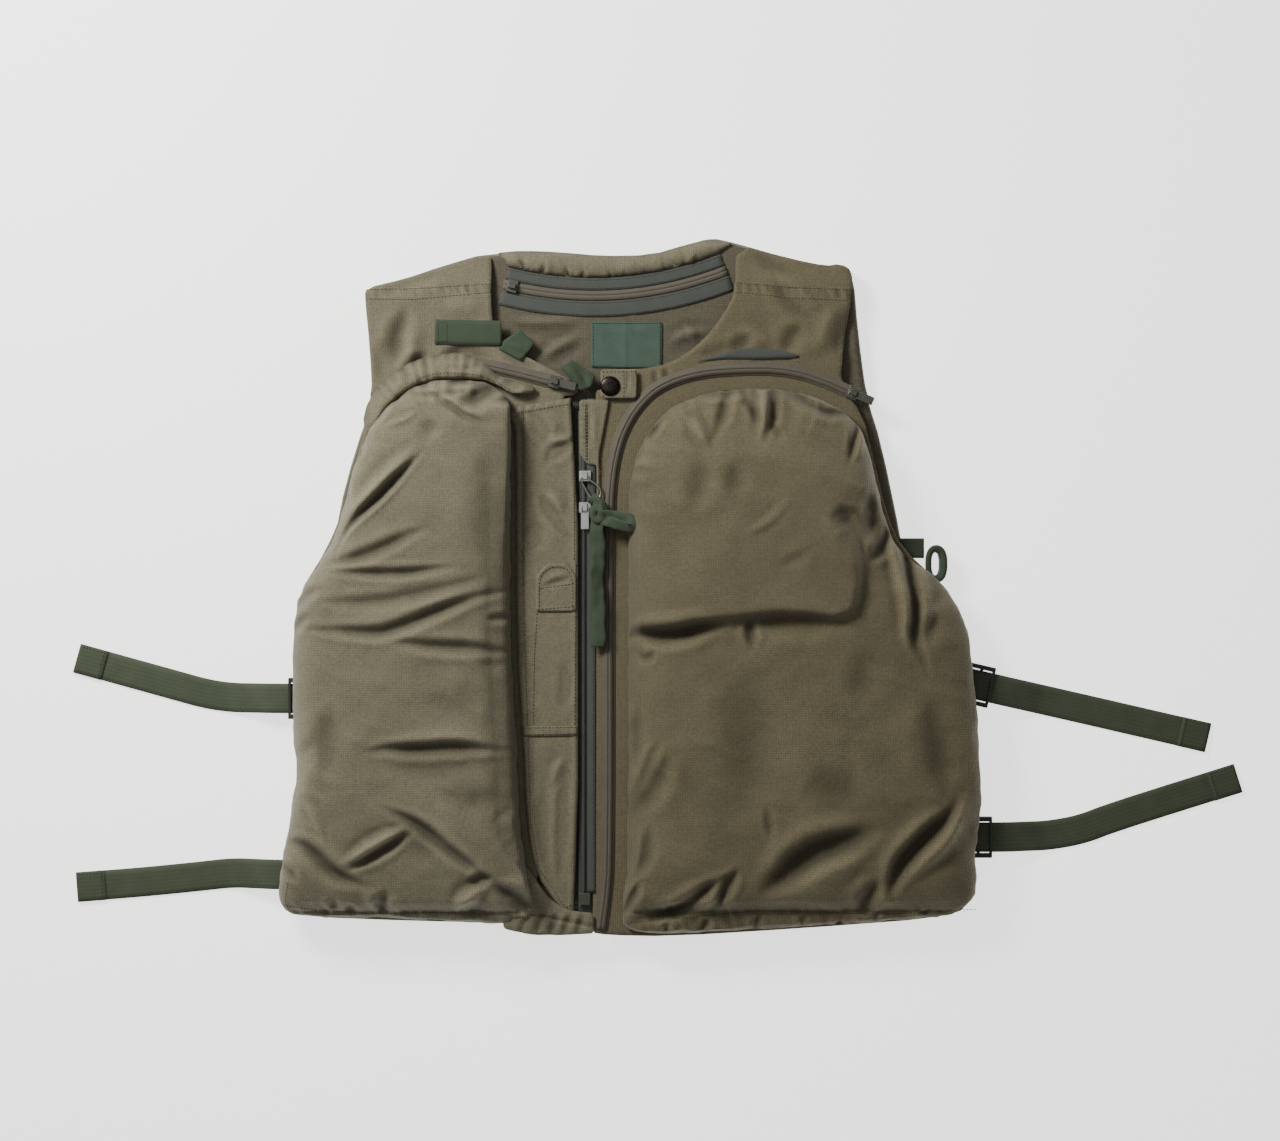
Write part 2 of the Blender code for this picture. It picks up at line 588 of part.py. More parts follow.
def build_side_strap(name, spec):
    """One side strap on its slide, with the ladder-lock buckle and the web loop that holds the buckle."""
    centre = Vector(spec["buckle"])
    first = Vector(spec["route"][0])
    out = (first - centre).normalized()

    ys = [BUCKLE_ANCHOR_IN, BUCKLE_ANCHOR_IN + BUCKLE_ANCHOR_BAR, -BUCKLE_OUT, -BUCKLE_OUT + BUCKLE_BAR,
          -BUCKLE_BAR / 2, BUCKLE_BAR / 2, BUCKLE_OUT - BUCKLE_BAR, BUCKLE_OUT]
    xs = [-BUCKLE_HALF_W, -BUCKLE_RAIL_IN, BUCKLE_RAIL_IN, BUCKLE_HALF_W]

    def filled(i, j, k):
        rail = i != 1
        if k == 0:
            return j == 0 or (rail and j < 3)
        if rail:
            return True
        if k == 1:
            return j == 4
        return k == 3 and j in (2, 6)

    buckle = turn_and_place(grid_block(xs, ys, BUCKLE_Z, filled), out, (*centre, 0))
    new_piece(name + "_buckle", buckle, "buckle_plastic")

    # The web loop runs round the anchor bar and back to the side seam
    bar = (BUCKLE_ANCHOR_IN, BUCKLE_ANCHOR_IN + BUCKLE_ANCHOR_BAR)
    loop_ys = [bar[0] - 3.0, bar[0] - 0.5, bar[1] + 0.5, bar[1] + 1.7]
    loop_xs = [-BUCKLE_RAIL_IN + 0.7, BUCKLE_RAIL_IN - 0.7]
    loop_zs = [BUCKLE_Z[0] - 1.7, BUCKLE_Z[0] - 0.5, BUCKLE_Z[1] + 0.5, BUCKLE_Z[1] + 1.7]
    loop = grid_block(loop_xs, loop_ys, loop_zs, lambda i, j, k: not (j == 1 and k == 1))
    new_piece(name + "_buckle_loop", turn_and_place(loop, out, (*centre, 0)), "webbing")

    inner_end = centre - out * STRAP_INSIDE
    level_end = centre + out * (BUCKLE_OUT + 12)
    dip = centre + out * (BUCKLE_OUT + 28)
    path = [(*inner_end, STRAP_Z), (*(centre - out * 20), STRAP_Z), (*level_end, STRAP_Z),
            (*dip, (STRAP_Z + STRAP_TABLE_Z) / 2)]
    path += [(x, y, STRAP_TABLE_Z) for x, y in spec["route"]]
    pivot = new_pivot(name + "_strap_slide", (*centre, STRAP_Z))
    strap = sweep(soften(path, 2, closed=False), flat_section(STRAP_WIDTH, STRAP_THICK))
    new_piece(name + "_strap", strap, "webbing", pivot)


def build_armhole_loops():
    new_piece("armhole_web_tab", prism(ARMHOLE_TAB, ARMHOLE_TAB_Z), "webbing")
    outlines = []
    for half_x, half_y in (ARMHOLE_LOOP_HALF, ARMHOLE_SLOT_HALF):
        corners = [(ARMHOLE_LOOP_AT[0] + sx * half_x, ARMHOLE_LOOP_AT[1] + sy * half_y)
                   for sx, sy in ((-1, -1), (1, -1), (1, 1), (-1, 1))]
        outlines.append(soften(corners, 2))
    new_piece("armhole_web_loop", ring_prism(*outlines, ARMHOLE_LOOP_Z), "webbing")


def build_pad(side, outline, centre, pivot):
    soft = soften(outline, 1)
    new_piece(side + "_pad_cover", crowned_shell(soft, centre), "cotton", pivot, smooth=True)
    core = [(centre[0] + FOAM_SHARE * (x - centre[0]), centre[1] + FOAM_SHARE * (y - centre[1]))
            for x, y in soft]
    half_gap = FOAM_SPLIT_GAP / 2
    new_piece(side + "_upper_foam", prism(clip(core, FOAM_SPLIT_Y + half_gap, True), FOAM_Z), "foam", pivot)
    new_piece(side + "_lower_foam", prism(clip(core, FOAM_SPLIT_Y - half_gap, False), FOAM_Z), "foam", pivot)


def build_pocket_zip(side, path, pivot):
    line = soften(path, 2, closed=False)
    new_piece(side + "_pocket_zip_tape", band(line, POCKET_TAPE_W, (ON_FRONT, TAPE_TOP)), "zip_tape", pivot)
    new_piece(side + "_pocket_zip_chain", band(line, POCKET_CHAIN_W, POCKET_CHAIN_Z), "zip_coil", pivot)


def build_left_front():
    pivot = new_pivot("left_front_lift", (-159, SEAM_Y, SEAM_Z))
    new_piece("left_front_panel", prism(LEFT_FRONT, FRONT_Z), "cotton", pivot)
    build_pad("left", LEFT_PAD, LEFT_PAD_CENTRE, pivot)
    build_pocket_zip("left", LEFT_POCKET_ZIP, pivot)
    pocket_slider("left_pocket_zip", LEFT_POCKET_SLIDER_AT, LEFT_POCKET_DIRECTION, pivot)
    new_piece("placket_panel", prism(PLACKET, PLACKET_Z), "cotton", pivot)
    new_piece("pen_pocket", prism(PEN_POCKET, ON_PLACKET_Z), "cotton", pivot)
    new_piece("placket_band", prism(PLACKET_BAND, ON_PLACKET_Z), "cotton", pivot)
    left_tape = box_outline(LEFT_TAPE_X, MAIN_ZIP_Y)
    new_piece("main_zip_left_tape", prism(left_tape, LEFT_TAPE_Z), "zip_tape", pivot)
    left_coil = box_outline(LEFT_COIL_X, MAIN_ZIP_Y)
    new_piece("main_zip_left_coil", prism(left_coil, LEFT_COIL_Z), "zip_coil", pivot)
    new_piece("neck_tape_loop", prism(NECK_LOOP, NECK_LOOP_Z), "webbing", pivot)
    tab_pivot = new_pivot("chest_tab_lift", (CHEST_TAB[0][0], 213, CHEST_TAB_Z[1]), pivot)
    new_piece("chest_tab", prism(CHEST_TAB, CHEST_TAB_Z), "webbing", tab_pivot)


def build_ribbon(pivot):
    """The ribbon tied in the ring: a knot, one long tail and one loop, joined into one body."""
    tail = sweep(soften(RIBBON_TAIL, 2, closed=False), flat_section(RIBBON_WIDTH, RIBBON_THICK))
    ribbon = new_piece("pull_ribbon", tail, "webbing", pivot)
    loop = sweep(soften(RIBBON_LOOP, 1, closed=False), flat_section(RIBBON_WIDTH * 0.8, RIBBON_THICK * 2))
    knot = bmesh.new()
    bmesh.ops.create_cube(knot, size=1.0)
    bmesh.ops.scale(knot, vec=KNOT_SIZE, verts=knot.verts)
    bmesh.ops.translate(knot, vec=KNOT_AT, verts=knot.verts)
    for name, bm in (("ribbon_loop_shape", loop), ("ribbon_knot_shape", knot)):
        helper = new_piece(name, bm, "webbing", pivot)
        helper.hide_render = True
        helper.display_type = "WIRE"
        union = ribbon.modifiers.new(name, "BOOLEAN")
        union.operation = "UNION"
        union.object = helper


def build_main_zip(pivot):
    """The right half of the main zip, its two sliders and their pulls."""
    tape = box_outline(RIGHT_TAPE_X, MAIN_ZIP_Y)
    new_piece("main_zip_right_tape", prism(tape, (ON_FRONT, TAPE_TOP)), "zip_tape", pivot)
    coil = box_outline(RIGHT_COIL_X, MAIN_ZIP_Y)
    new_piece("main_zip_right_coil", prism(coil, RIGHT_COIL_Z), "zip_coil", pivot)
    stop = box_outline((-33.5, -24.5), (MAIN_ZIP_Y[0] - 10, MAIN_ZIP_Y[0] - GAP))
    new_piece("main_zip_retainer_box", prism(stop, (19.6, 24.2)), "slider_metal", pivot)

    # The lower slider rides on the upper one's pivot: pulled down, the upper slider pushes it ahead
    travel = pivot
    levels = (19.4, 20.7, 23.5, MAIN_SLIDER_TOP)
    axis_z = MAIN_SLIDER_TOP + PULL_AXIS_UP
    for name, y in (("upper", UPPER_SLIDER_Y), ("lower", LOWER_SLIDER_Y)):
        travel = new_pivot(name + "_slider_travel", (MAIN_SLIDER_X, y, MAIN_SLIDER_TOP), travel)
        body = slider_body(levels, hooked=True)
        bmesh.ops.translate(body, vec=(MAIN_SLIDER_X, y, 0), verts=body.verts)
        new_piece(name + "_slider", body, "slider_metal", travel)
        turn = new_pivot(name + "_pull_turn", (MAIN_SLIDER_X, y, axis_z), travel)
        if name == "lower":
            pull = pull_plate()
            bmesh.ops.translate(pull, vec=(MAIN_SLIDER_X, y, axis_z), verts=pull.verts)
            new_piece("lower_pull", pull, "slider_metal", turn)
            continue
        ring_path = [(MAIN_SLIDER_X + x, y + dy, axis_z) for x, dy in RING_PATH]
        ring = sweep(soften(ring_path, 1), round_section(RING_WIRE_R), closed=True)
        new_piece("pull_ring", ring, "slider_metal", turn, smooth=True)
        build_ribbon(turn)


def build_snap(pivot):
    """The snap tab on its fold line, with the cap and socket on it and the stud below."""
    fold = new_pivot("snap_tab_lift", (SNAP_TAB[1][0], SNAP_AT[1], SNAP_TAB_Z[1]), pivot)
    new_piece("snap_tab", prism(SNAP_TAB, SNAP_TAB_Z), "cotton", fold)
    new_piece("snap_cap", turned(SNAP_AT, SNAP_CAP_PROFILE, SNAP_CAP_TOP), "snap_metal", fold, smooth=True)
    rings = []
    for radius in (SNAP_SOCKET_R, SNAP_SOCKET_HOLE_R):
        rings.append([(SNAP_AT[0] + x, SNAP_AT[1] + y) for x, y in round_section(radius, ROUND_SIDES)])
    new_piece("snap_socket", ring_prism(*rings, SNAP_SOCKET_Z), "snap_metal", fold, smooth=True)
    new_piece("snap_stud", turned(SNAP_AT, SNAP_STUD_PROFILE, SNAP_STUD_TOP), "snap_metal", pivot, smooth=True)


def build_right_front():
    pivot = new_pivot("right_front_lift", (143, SEAM_Y, SEAM_Z))
    new_piece("right_front_panel", prism(RIGHT_FRONT, FRONT_Z), "cotton", pivot)
    build_pad("right", RIGHT_PAD, RIGHT_PAD_CENTRE, pivot)
    build_pocket_zip("right", RIGHT_POCKET_ZIP, pivot)
    pocket_slider("right_pocket_zip", RIGHT_POCKET_SLIDER_AT, RIGHT_POCKET_DIRECTION, pivot)
    build_main_zip(pivot)
    build_snap(pivot)


def main():
    clear_scene()
    build_back()
    build_collar()
    for name, spec in STRAPS.items():
        build_side_strap(name, spec)
    build_armhole_loops()
    build_left_front()
    build_right_front()


main()
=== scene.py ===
"""Padded fishing vest lying open-necked on its back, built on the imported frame.

Sizes inside the functions are millimetres in the frame's own axes: the shoulders point along +Y, the
wearer's right-hand pocket is on +X and the front is uppermost. mesh_piece() turns them into metres.
"""

import math

import bmesh
import bpy
import numpy as np
from bpy.props import FloatProperty, FloatVectorProperty, PointerProperty
from mathutils import Matrix, Vector, geometry, noise
from mathutils.bvhtree import BVHTree


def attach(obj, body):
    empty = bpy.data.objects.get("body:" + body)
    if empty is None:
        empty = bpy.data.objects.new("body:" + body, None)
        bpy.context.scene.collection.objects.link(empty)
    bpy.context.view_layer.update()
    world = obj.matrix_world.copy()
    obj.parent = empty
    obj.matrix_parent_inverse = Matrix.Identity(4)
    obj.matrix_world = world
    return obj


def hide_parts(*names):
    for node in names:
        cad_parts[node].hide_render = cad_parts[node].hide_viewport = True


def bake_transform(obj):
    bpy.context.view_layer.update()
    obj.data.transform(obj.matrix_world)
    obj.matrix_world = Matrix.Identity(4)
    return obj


bl_info = {
    "name": "Fishing Vest",
    "version": (1, 0, 0),
    "blender": (4, 5, 0),
    "location": "View3D > Sidebar > Fishing Vest",
    "description": "Builds a padded fishing vest with its zips, straps and pockets",
    "category": "Object",
}

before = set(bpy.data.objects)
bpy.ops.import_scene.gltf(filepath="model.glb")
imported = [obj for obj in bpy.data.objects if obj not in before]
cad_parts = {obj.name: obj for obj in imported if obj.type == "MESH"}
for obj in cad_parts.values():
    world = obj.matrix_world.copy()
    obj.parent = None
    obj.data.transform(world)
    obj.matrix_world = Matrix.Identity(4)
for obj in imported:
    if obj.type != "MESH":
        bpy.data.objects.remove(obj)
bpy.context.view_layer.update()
MM = 0.001


def linear(hex_colour):
    """An sRGB hex colour as linear light."""
    channels = [int(hex_colour[i:i + 2], 16) / 255 for i in (0, 2, 4)]
    return tuple(c / 12.92 if c <= 0.04045 else ((c + 0.055) / 1.055) ** 2.4 for c in channels)


# ---------------------------------------------------------------- the vest's own measures, in mm

FRONT_TOP = 21.5               # upper face of both front panels
LINING_TOP = 12.6

BACK_OUTLINE = [
    (-213, 250), (-209, 238), (-205, 160), (-221, 115), (-234, 66), (-240, 20), (-240, -250), (-228, -272),
    (262, -276), (277, -262), (277, -60), (262, -25), (240, 0), (234, 41), (217, 123), (205, 160), (198, 213),
    (194, 262), (184, 272), (172, 269), (139, 276), (94, 289), (75, 293), (57, 287), (25, 276), (-16, 275),
    (-49, 279), (-107, 281), (-148, 269), (-180, 258),
]
LEFT_FRONT = [
    (-50, -276), (-50, 160), (-35, 161), (-35, 170), (-60, 184), (-92, 200), (-105, 215), (-107, 246),
    (-106, 265), (-108, 280), (-148, 268), (-180, 257), (-211, 249.5),
    (-211, 240), (-207, 200), (-205, 160), (-216, 115), (-229, 66), (-243, 33), (-264, 0), (-269, -33),
    (-269, -123), (-265, -148), (-273, -197), (-280, -250), (-277, -264), (-266, -270), (-164, -274),
]
RIGHT_FRONT = [
    (96, 287), (95, 246), (86, 228), (66, 203), (41, 187), (15, 182), (-14, 182), (-14, 166), (-22, 164),
    (-22, -262), (-25, -283), (-10, -285.5), (41, -286.5), (148, -280), (268, -271), (285, -262), (292, -250),
    (292, -221), (299, -172), (296, -131), (292, -74), (286, -30), (262, 8), (234, 34), (221, 60),
    (208, 115), (200, 146), (182, 168), (185, 205), (192, 246), (192, 264), (184, 270), (172, 268), (139, 275),
]
LEFT_PAD = [
    (-88.5, 158), (-95, 169), (-112, 179.5), (-162, 179.5), (-198, 156), (-221, 115), (-234, 66), (-248, 33),
    (-270, 2), (-275, -33), (-276, -123), (-272, -148), (-279, -197), (-286, -250), (-283, -267), (-270, -276),
    (-164, -279), (-76, -284), (-66, -268), (-75, -237), (-81, -190), (-83.5, -120), (-88.5, -40),
]
LEFT_PAD_CENTRE = (-178, -60)
RIGHT_PAD = [
    (-0.5, 70), (3, 100), (14, 131), (33, 153), (54, 165), (84, 172.5), (146, 173), (196, 150), (211, 115),
    (226, 52), (240, 32), (270, 12), (293, -25), (299, -74), (303, -131), (306, -172), (300, -221),
    (299, -254), (291, -267), (271, -277), (148, -286), (41, -291), (0, -289), (-5, -270), (-0.5, -225),
]
RIGHT_PAD_CENTRE = (145, -60)
# The left-hand padding ends in a steep wall beside the placket, given from its bottom up
LEFT_PAD_WALL = [(-66, -268), (-75, -237), (-81, -190), (-83.5, -120), (-88.5, -40), (-88.5, 158)]
PAD_CROWN = [(1.0, 22.6), (1.0, 26), (0.985, 33), (0.96, 39), (0.92, 45), (0.85, 50), (0.74, 54), (0.5, 57)]
PAD_TOP = 58.5
PAD_FLOOR = 22.0
PAD_LIMIT = 69.0               # no fold of the padding stands higher
PAD_SHRINK = 0.988             # the pillow starts a little smaller, because it swells
PUFF_LIMIT = 5.0               # the most that the stuffing moves any point
PUFF_PRESSURE = 4.0
PUFF_FRAMES = 20
HEM_STITCH_Y = -264.0

# Folds pressed into the padding: depth (a ridge is negative), half width, and the line they follow
LEFT_PAD_FOLDS = [
    (3.0, 2.6, [(-159, 163), (-140, 151), (-121, 139), (-106, 134)]),
    (-2.0, 3.0, [(-157, 168), (-138, 156), (-120, 144), (-104, 138)]),
    (7.0, 6.5, [(-96, 171), (-114, 161), (-131, 148)]),
    (4.5, 3.0, [(-106, 155), (-94, 155), (-82, 159)]),
    (-4.0, 2.4, [(-106, 176), (-97, 172), (-88, 163)]),
    (3.0, 3.0, [(-146, 171), (-126, 172), (-108, 167)]),
    (2.0, 2.5, [(-183, 167), (-165, 159), (-140, 160), (-118, 165)]),
    (6.5, 2.9, [(-157, 116), (-183, 90), (-198, 74), (-221, 53), (-232, 30)]),
    (-3.0, 4.5, [(-160, 122), (-188, 96), (-204, 80), (-226, 60)]),
    (4.0, 4.2, [(-246, 20), (-209, 27), (-183, 39), (-152, 53)]),
    (4.5, 3.2, [(-244, 15), (-183, 13), (-149, 17), (-128, 20)]),
    (3.2, 4.5, [(-258, -10), (-200, -11), (-149, 0), (-102, 13)]),
    (5.5, 4.2, [(-266, -31), (-201, -35), (-188, -33), (-166, -25), (-123, -7), (-86, 2)]),
    (4.5, 4.2, [(-190, -42), (-149, -46), (-112, -47), (-84, -55)]),
    (2.5, 3.0, [(-110, -24), (-90, -22)]),
    (4.0, 4.0, [(-276, -38), (-262, -25), (-250, -22)]),
    (3.0, 4.0, [(-272, -20), (-255, -2), (-240, 2)]),
    (6.0, 4.4, [(-212, -133), (-192, -129), (-167, -130), (-130, -127), (-88, -132)]),
    (2.5, 12.0, [(-200, -140), (-160, -141), (-92, -142)]),
    (3.0, 9.0, [(-234, -90), (-240, -136), (-236, -158)]),
    (2.0, 12.0, [(-165, -90), (-130, -95), (-105, -85)]),
    (2.5, 9.0, [(-150, -160), (-125, -172), (-95, -170)]),
    (6.0, 4.0, [(-198, -175), (-171, -186), (-152, -200), (-130, -219), (-100, -240)]),
    (2.5, 13.0, [(-190, -188), (-160, -206), (-140, -222)]),
    (-4.5, 4.0, [(-170, -191), (-193, -203), (-213, -215), (-229, -225)]),
    (4.5, 3.5, [(-166, -196), (-190, -210), (-210, -222), (-224, -230)]),
    (-2.2, 3.0, [(-259, -167), (-249, -182), (-237, -211)]),
    (6.0, 5.0, [(-279, -206), (-259, -206), (-248, -215), (-238, -226), (-222, -237), (-200, -243)]),
    (4.0, 4.0, [(-281, -220), (-270, -229), (-261, -240)]),
    (5.0, 4.0, [(-126, -238), (-103, -234)]),
    (6.5, 5.0, [(-106, -238), (-86, -252), (-68, -266)]),
    (-5.0, 5.0, [(-110, -243), (-124, -252), (-138, -262)]),
    (5.0, 5.0, [(-190, -243), (-194, -256), (-199, -266)]),
    (3.0, 3.5, [(-232, -250), (-236, -262)]),
    (3.0, 3.5, [(-218, -256), (-226, -264)]),
    (5.0, 4.0, [(-190, 163), (-198, 150), (-206, 134)]),
    (4.0, 3.0, [(-211, 121), (-215, 106)]),
    (5.0, 4.0, [(-221, 90), (-228, 72), (-235, 54)]),
    (3.0, 3.0, [(-250, 30), (-240, 38), (-230, 40)]),
    (2.2, 6.0, [(-150, 140), (-158, 128), (-154, 118)]),
    (1.6, 10.0, [(-112, 120), (-108, 60), (-110, 0)]),
    (-1.6, 2.5, [(-196, 133), (-176, 138), (-162, 148)]),
]
LEFT_HEM_PUCKERS = [(-262, -272), (-226, -274), (-205, -276), (-172, -277), (-150, -277), (-122, -279), (-98, -280)]
RIGHT_PAD_FOLDS = [
    (4.0, 4.2, [(58, 170), (66, 165), (78, 162), (110, 164)]),
    (3.5, 4.0, [(92, 182), (88, 160), (84, 142), (77, 120)]),
    (3.5, 3.0, [(95, 174), (104, 156), (112, 142), (119, 126)]),
    (-5.0, 3.4, [(108, 186), (118, 166), (118, 144), (113, 116)]),
    (3.8, 3.6, [(122, 182), (126, 160), (126, 142), (119, 120)]),
    (3.0, 6.0, [(132, 132), (124, 126)]),
    (5.0, 4.0, [(128, 164), (144, 160), (160, 150), (172, 144), (196, 146)]),
    (4.0, 4.5, [(154, 170), (166, 160), (178, 151)]),
    (-3.0, 4.0, [(160, 164), (175, 160), (182, 152)]),
    (4.2, 2.8, [(198, 154), (193, 128), (185, 98)]),
    (-2.5, 4.0, [(200, 138), (198, 120), (192, 104)]),
    (5.5, 3.0, [(36, 145), (29, 134), (20, 121)]),
    (2.5, 2.5, [(20, 116), (12, 108), (3, 101)]),
    (-2.5, 2.5, [(14, 114), (4, 103)]),
    (-4.5, 4.0, [(56, 143), (66, 129), (74, 114)]),
    (2.5, 2.5, [(42, 160), (34, 150), (26, 144)]),
    (2.0, 2.0, [(24, 145), (30, 138)]),
    (2.0, 8.0, [(67, 113), (64, 80), (58, 60)]),
    (1.8, 7.0, [(94, 107), (92, 88), (96, 70)]),
    (-1.6, 3.0, [(141, 76), (130, 66), (119, 54), (98, 44)]),
    (1.4, 4.0, [(128, 18), (145, 26), (156, 34)]),
    (4.6, 6.0, [(208, 92), (203, 64), (211, 32)]),
    (5.6, 4.6, [(223, 62), (216, 36), (200, 20)]),
    (4.0, 7.0, [(176, 70), (180, 60), (188, 50)]),
    (-4.5, 4.5, [(216, 96), (224, 67), (227, 30), (235, -18), (231, -38), (240, -56)]),
    (7.0, 4.5, [(222, 90), (231, 62), (234, 29), (243, -18), (239, -38), (248, -56), (253, -74)]),
    (7.0, 6.0, [(-2, -36), (12, -33), (38, -38), (72, -29), (90, -27)]),
    (4.0, 3.5, [(-4, -45), (2, -38), (14, -36)]),
    (3.6, 8.0, [(90, -28), (140, -25), (188, -28)]),
    (4.5, 3.5, [(104, -22), (107, -38), (110, -50)]),
    (2.5, 18.0, [(104, -55), (102, -80), (108, -145), (98, -190)]),
    (2.0, 26.0, [(70, -100), (80, -150), (50, -190)]),
    (2.5, 3.0, [(14, -50), (22, -58), (30, -48)]),
    (2.0, 10.0, [(197, -45), (199, -70), (190, -92)]),
    (3.5, 11.0, [(254, -80), (256, -105), (262, -155), (270, -172)]),
    (10.0, 6.0, [(278, -166), (272, -182), (260, -194), (235, -216), (225, -232), (218, -258)]),
    (-4.0, 8.0, [(286, -160), (280, -185), (262, -206), (240, -232)]),
    (9.0, 9.0, [(216, -193), (183, -205), (152, -217), (130, -237), (108, -254)]),
    (-3.0, 10.0, [(205, -214), (170, -232), (140, -250)]),
    (5.5, 4.0, [(99, -226), (89, -238), (83, -252), (74, -263)]),
    (6.5, 4.5, [(92, -229), (67, -248), (44, -264), (10, -272)]),
    (5.0, 3.4, [(18, -236), (8, -256), (-3, -270)]),
    (4.0, 7.0, [(43, -130), (26, -164), (5, -188)]),
    (2.5, 4.0, [(34, -120), (20, -150), (8, -176)]),
    (3.0, 4.0, [(22, -190), (24, -215), (10, -240)]),
    (2.5, 4.0, [(16, -90), (12, -120), (14, -150)]),
    (5.5, 6.0, [(214, -235), (204, -250), (194, -265)]),
    (2.5, 14.0, [(160, -140), (175, -165), (205, -170)]),
    (2.0, 3.0, [(124, -205), (122, -190), (118, -175)]),
    (3.5, 8.0, [(262, -20), (250, -35), (238, -35)]),
    (3.0, 6.0, [(255, 22), (262, -6), (250, -14)]),
]
RIGHT_HEM_PUCKERS = [(38, -278), (70, -276), (112, -274), (150, -273), (180, -274), (210, -270), (250, -268)]
# The foam slab that stands proud in the upper part of the right-hand pocket
RIGHT_SLAB = [
    (-12, -34), (38, -34), (72, -25), (109, -22), (140, -20), (186, -24), (196, 0), (194, 34), (186, 52),
    (184, 66), (206, 88), (186, 101), (151, 111), (117, 121), (92, 121), (72, 115), (66, 129), (55, 141),
    (38, 140), (18, 120), (-12, 98),
]

PLACKET_FOLDS = [
    (3.0, 4.0, [(-63, 104), (-52, 116), (-38, 121)]),
    (-2.6, 4.0, [(-62, 128), (-54, 122), (-38, 128)]),
    (3.0, 5.0, [(-74, 146), (-64, 132), (-60, 120)]),
    (2.4, 4.0, [(-68, 82), (-54, 59), (-38, 38)]),
    (-2.2, 4.5, [(-60, 84), (-46, 62)]),
    (2.0, 7.0, [(-74, 60), (-70, 44), (-74, 30)]),
    (2.2, 5.0, [(-48, -60), (-42, -80), (-50, -100)]),
    (-2.0, 3.5, [(-46, -136), (-54, -150), (-56, -164)]),
    (2.2, 4.0, [(-40, -140), (-48, -170), (-50, -246)]),
    (1.6, 5.0, [(-62, -150), (-64, -200), (-58, -240)]),
]
PEN_POCKET = [(-70, -18), (-70, 12), (-60, 22), (-44, 22), (-36, 12), (-36, -18)]
PLACKET_BAND = [(-79, -121), (-79, -113), (-36, -113), (-36, -121)]

LEFT_FRONT_FOLDS = [
    (5.0, 6.5, [(-176, 236), (-184, 208), (-190, 180)]),
    (4.5, 5.5, [(-158, 198), (-168, 187), (-176, 170)]),
    (2.6, 4.0, [(-128, 199), (-140, 194), (-152, 187)]),
    (-2.2, 6.0, [(-178, 222), (-174, 200), (-171, 180)]),
    (2.0, 7.0, [(-196, 210), (-197, 186), (-202, 166)]),
    (2.6, 5.0, [(-150, 199), (-125, 196), (-100, 191)]),
    (-2.0, 7.0, [(-150, 234), (-130, 236), (-112, 232)]),
    (2.0, 6.0, [(-200, 244), (-170, 258), (-140, 262)]),
    (2.0, 5.0, [(-100, 198), (-84, 188), (-62, 183)]),
]
RIGHT_FRONT_FOLDS = [
    (3.0, 6.0, [(124, 260), (140, 236), (164, 222)]),
    (3.6, 7.0, [(196, 240), (184, 214), (180, 186)]),
    (-2.6, 7.0, [(176, 236), (168, 212), (158, 192)]),
    (3.0, 6.0, [(150, 222), (140, 204), (132, 194)]),
    (2.4, 5.0, [(110, 214), (98, 200), (88, 194)]),
    (-2.0, 6.0, [(96, 222), (112, 208), (130, 205)]),
    (2.0, 5.0, [(60, 194), (80, 196), (100, 206)]),
    (2.0, 6.0, [(110, 280), (124, 268), (148, 262)]),
    (2.0, 2.5, [(36, 186), (38, 176), (42, 170)]),
    (1.6, 2.5, [(28, 184), (29, 174), (31, 166)]),
]
LINING_FOLDS = [
    (-2.6, 4.0, [(-96, 226), (-60, 222), (-28, 226)]),
    (2.0, 4.0, [(-90, 219), (-62, 214), (-30, 219)]),
    (-3.0, 4.0, [(-70, 190), (-52, 202), (-30, 212)]),
    (2.0, 4.0, [(-60, 188), (-46, 196), (-30, 204)]),
    (-2.6, 4.0, [(38, 206), (58, 214), (78, 216)]),
    (2.0, 5.0, [(40, 196), (60, 204), (78, 208)]),
    (-2.0, 3.0, [(52, 222), (60, 212), (62, 198)]),
    (-2.0, 3.5, [(6, 232), (10, 226), (8, 224)]),
]

LEFT_POCKET_ZIP = [(-203, 158), (-186, 173), (-164, 184), (-140, 188), (-115, 187), (-42, 168.5)]
RIGHT_POCKET_ZIP = [
    (-16, -280), (-12, -252), (-9.8, -222), (-9.8, 60), (-6.6, 103), (3, 136), (23, 163), (48, 176),
    (82, 182.5), (146, 183), (202, 158),
]

COLLAR_CENTRE = (-22, 544)
COLLAR_ANGLES = (-14.5, 21.5)
COLLAR_BAND_TOP = [(93, 287), (75, 291), (57, 287), (25, 277.5), (-16, 277), (-49, 280), (-82, 281.5),
                   (-102, 279.5)]
LABEL = [(-24.6, 184), (35, 184), (35, 223), (-24.6, 223)]
SNAP_AT = (-8.2, 168)

STRAP_MID = 15.1               # height of a strap inside its buckle
STRAP_TABLE = 1.0              # and where it lies on the floor
STRAP_WIDTH = 24.6
STITCH_SIZE = (2.5, 0.85, 0.6)
SHARP_ANGLE = 35
SHOULDER_DROP = 6.5            # how far each front rolls down behind its shoulder seam
FLOOR_GLOW = 1.7
AIR_LIGHT = 0.2
STRAPS = {
    "left_upper": {"buckle": (-264, -90), "route": [(-324, -90), (-345, -87), (-370, -80), (-453, -57)]},
    "left_lower": {"buckle": (-264, -236), "route": [(-324, -236), (-350, -239), (-400, -244), (-453, -248)]},
    "right_upper": {"buckle": (297, -79), "route": [(355, -92.4), (380, -98.1), (420, -107.3), (490, -123.5)]},
    "right_lower": {"buckle": (297, -205), "route": [(357, -205), (385, -200), (410, -190), (515, -157)]},
}
RING_PATH = [(-3.4, 0), (-3.4, -4), (0, -10), (3, -16), (8, -20), (13, -17), (13, -11), (8, -6), (3.4, -3.5),
             (3.4, 0)]
UPPER_SLIDER = (-29.0, 94.0)
PULL_AXIS_Z = 26.4


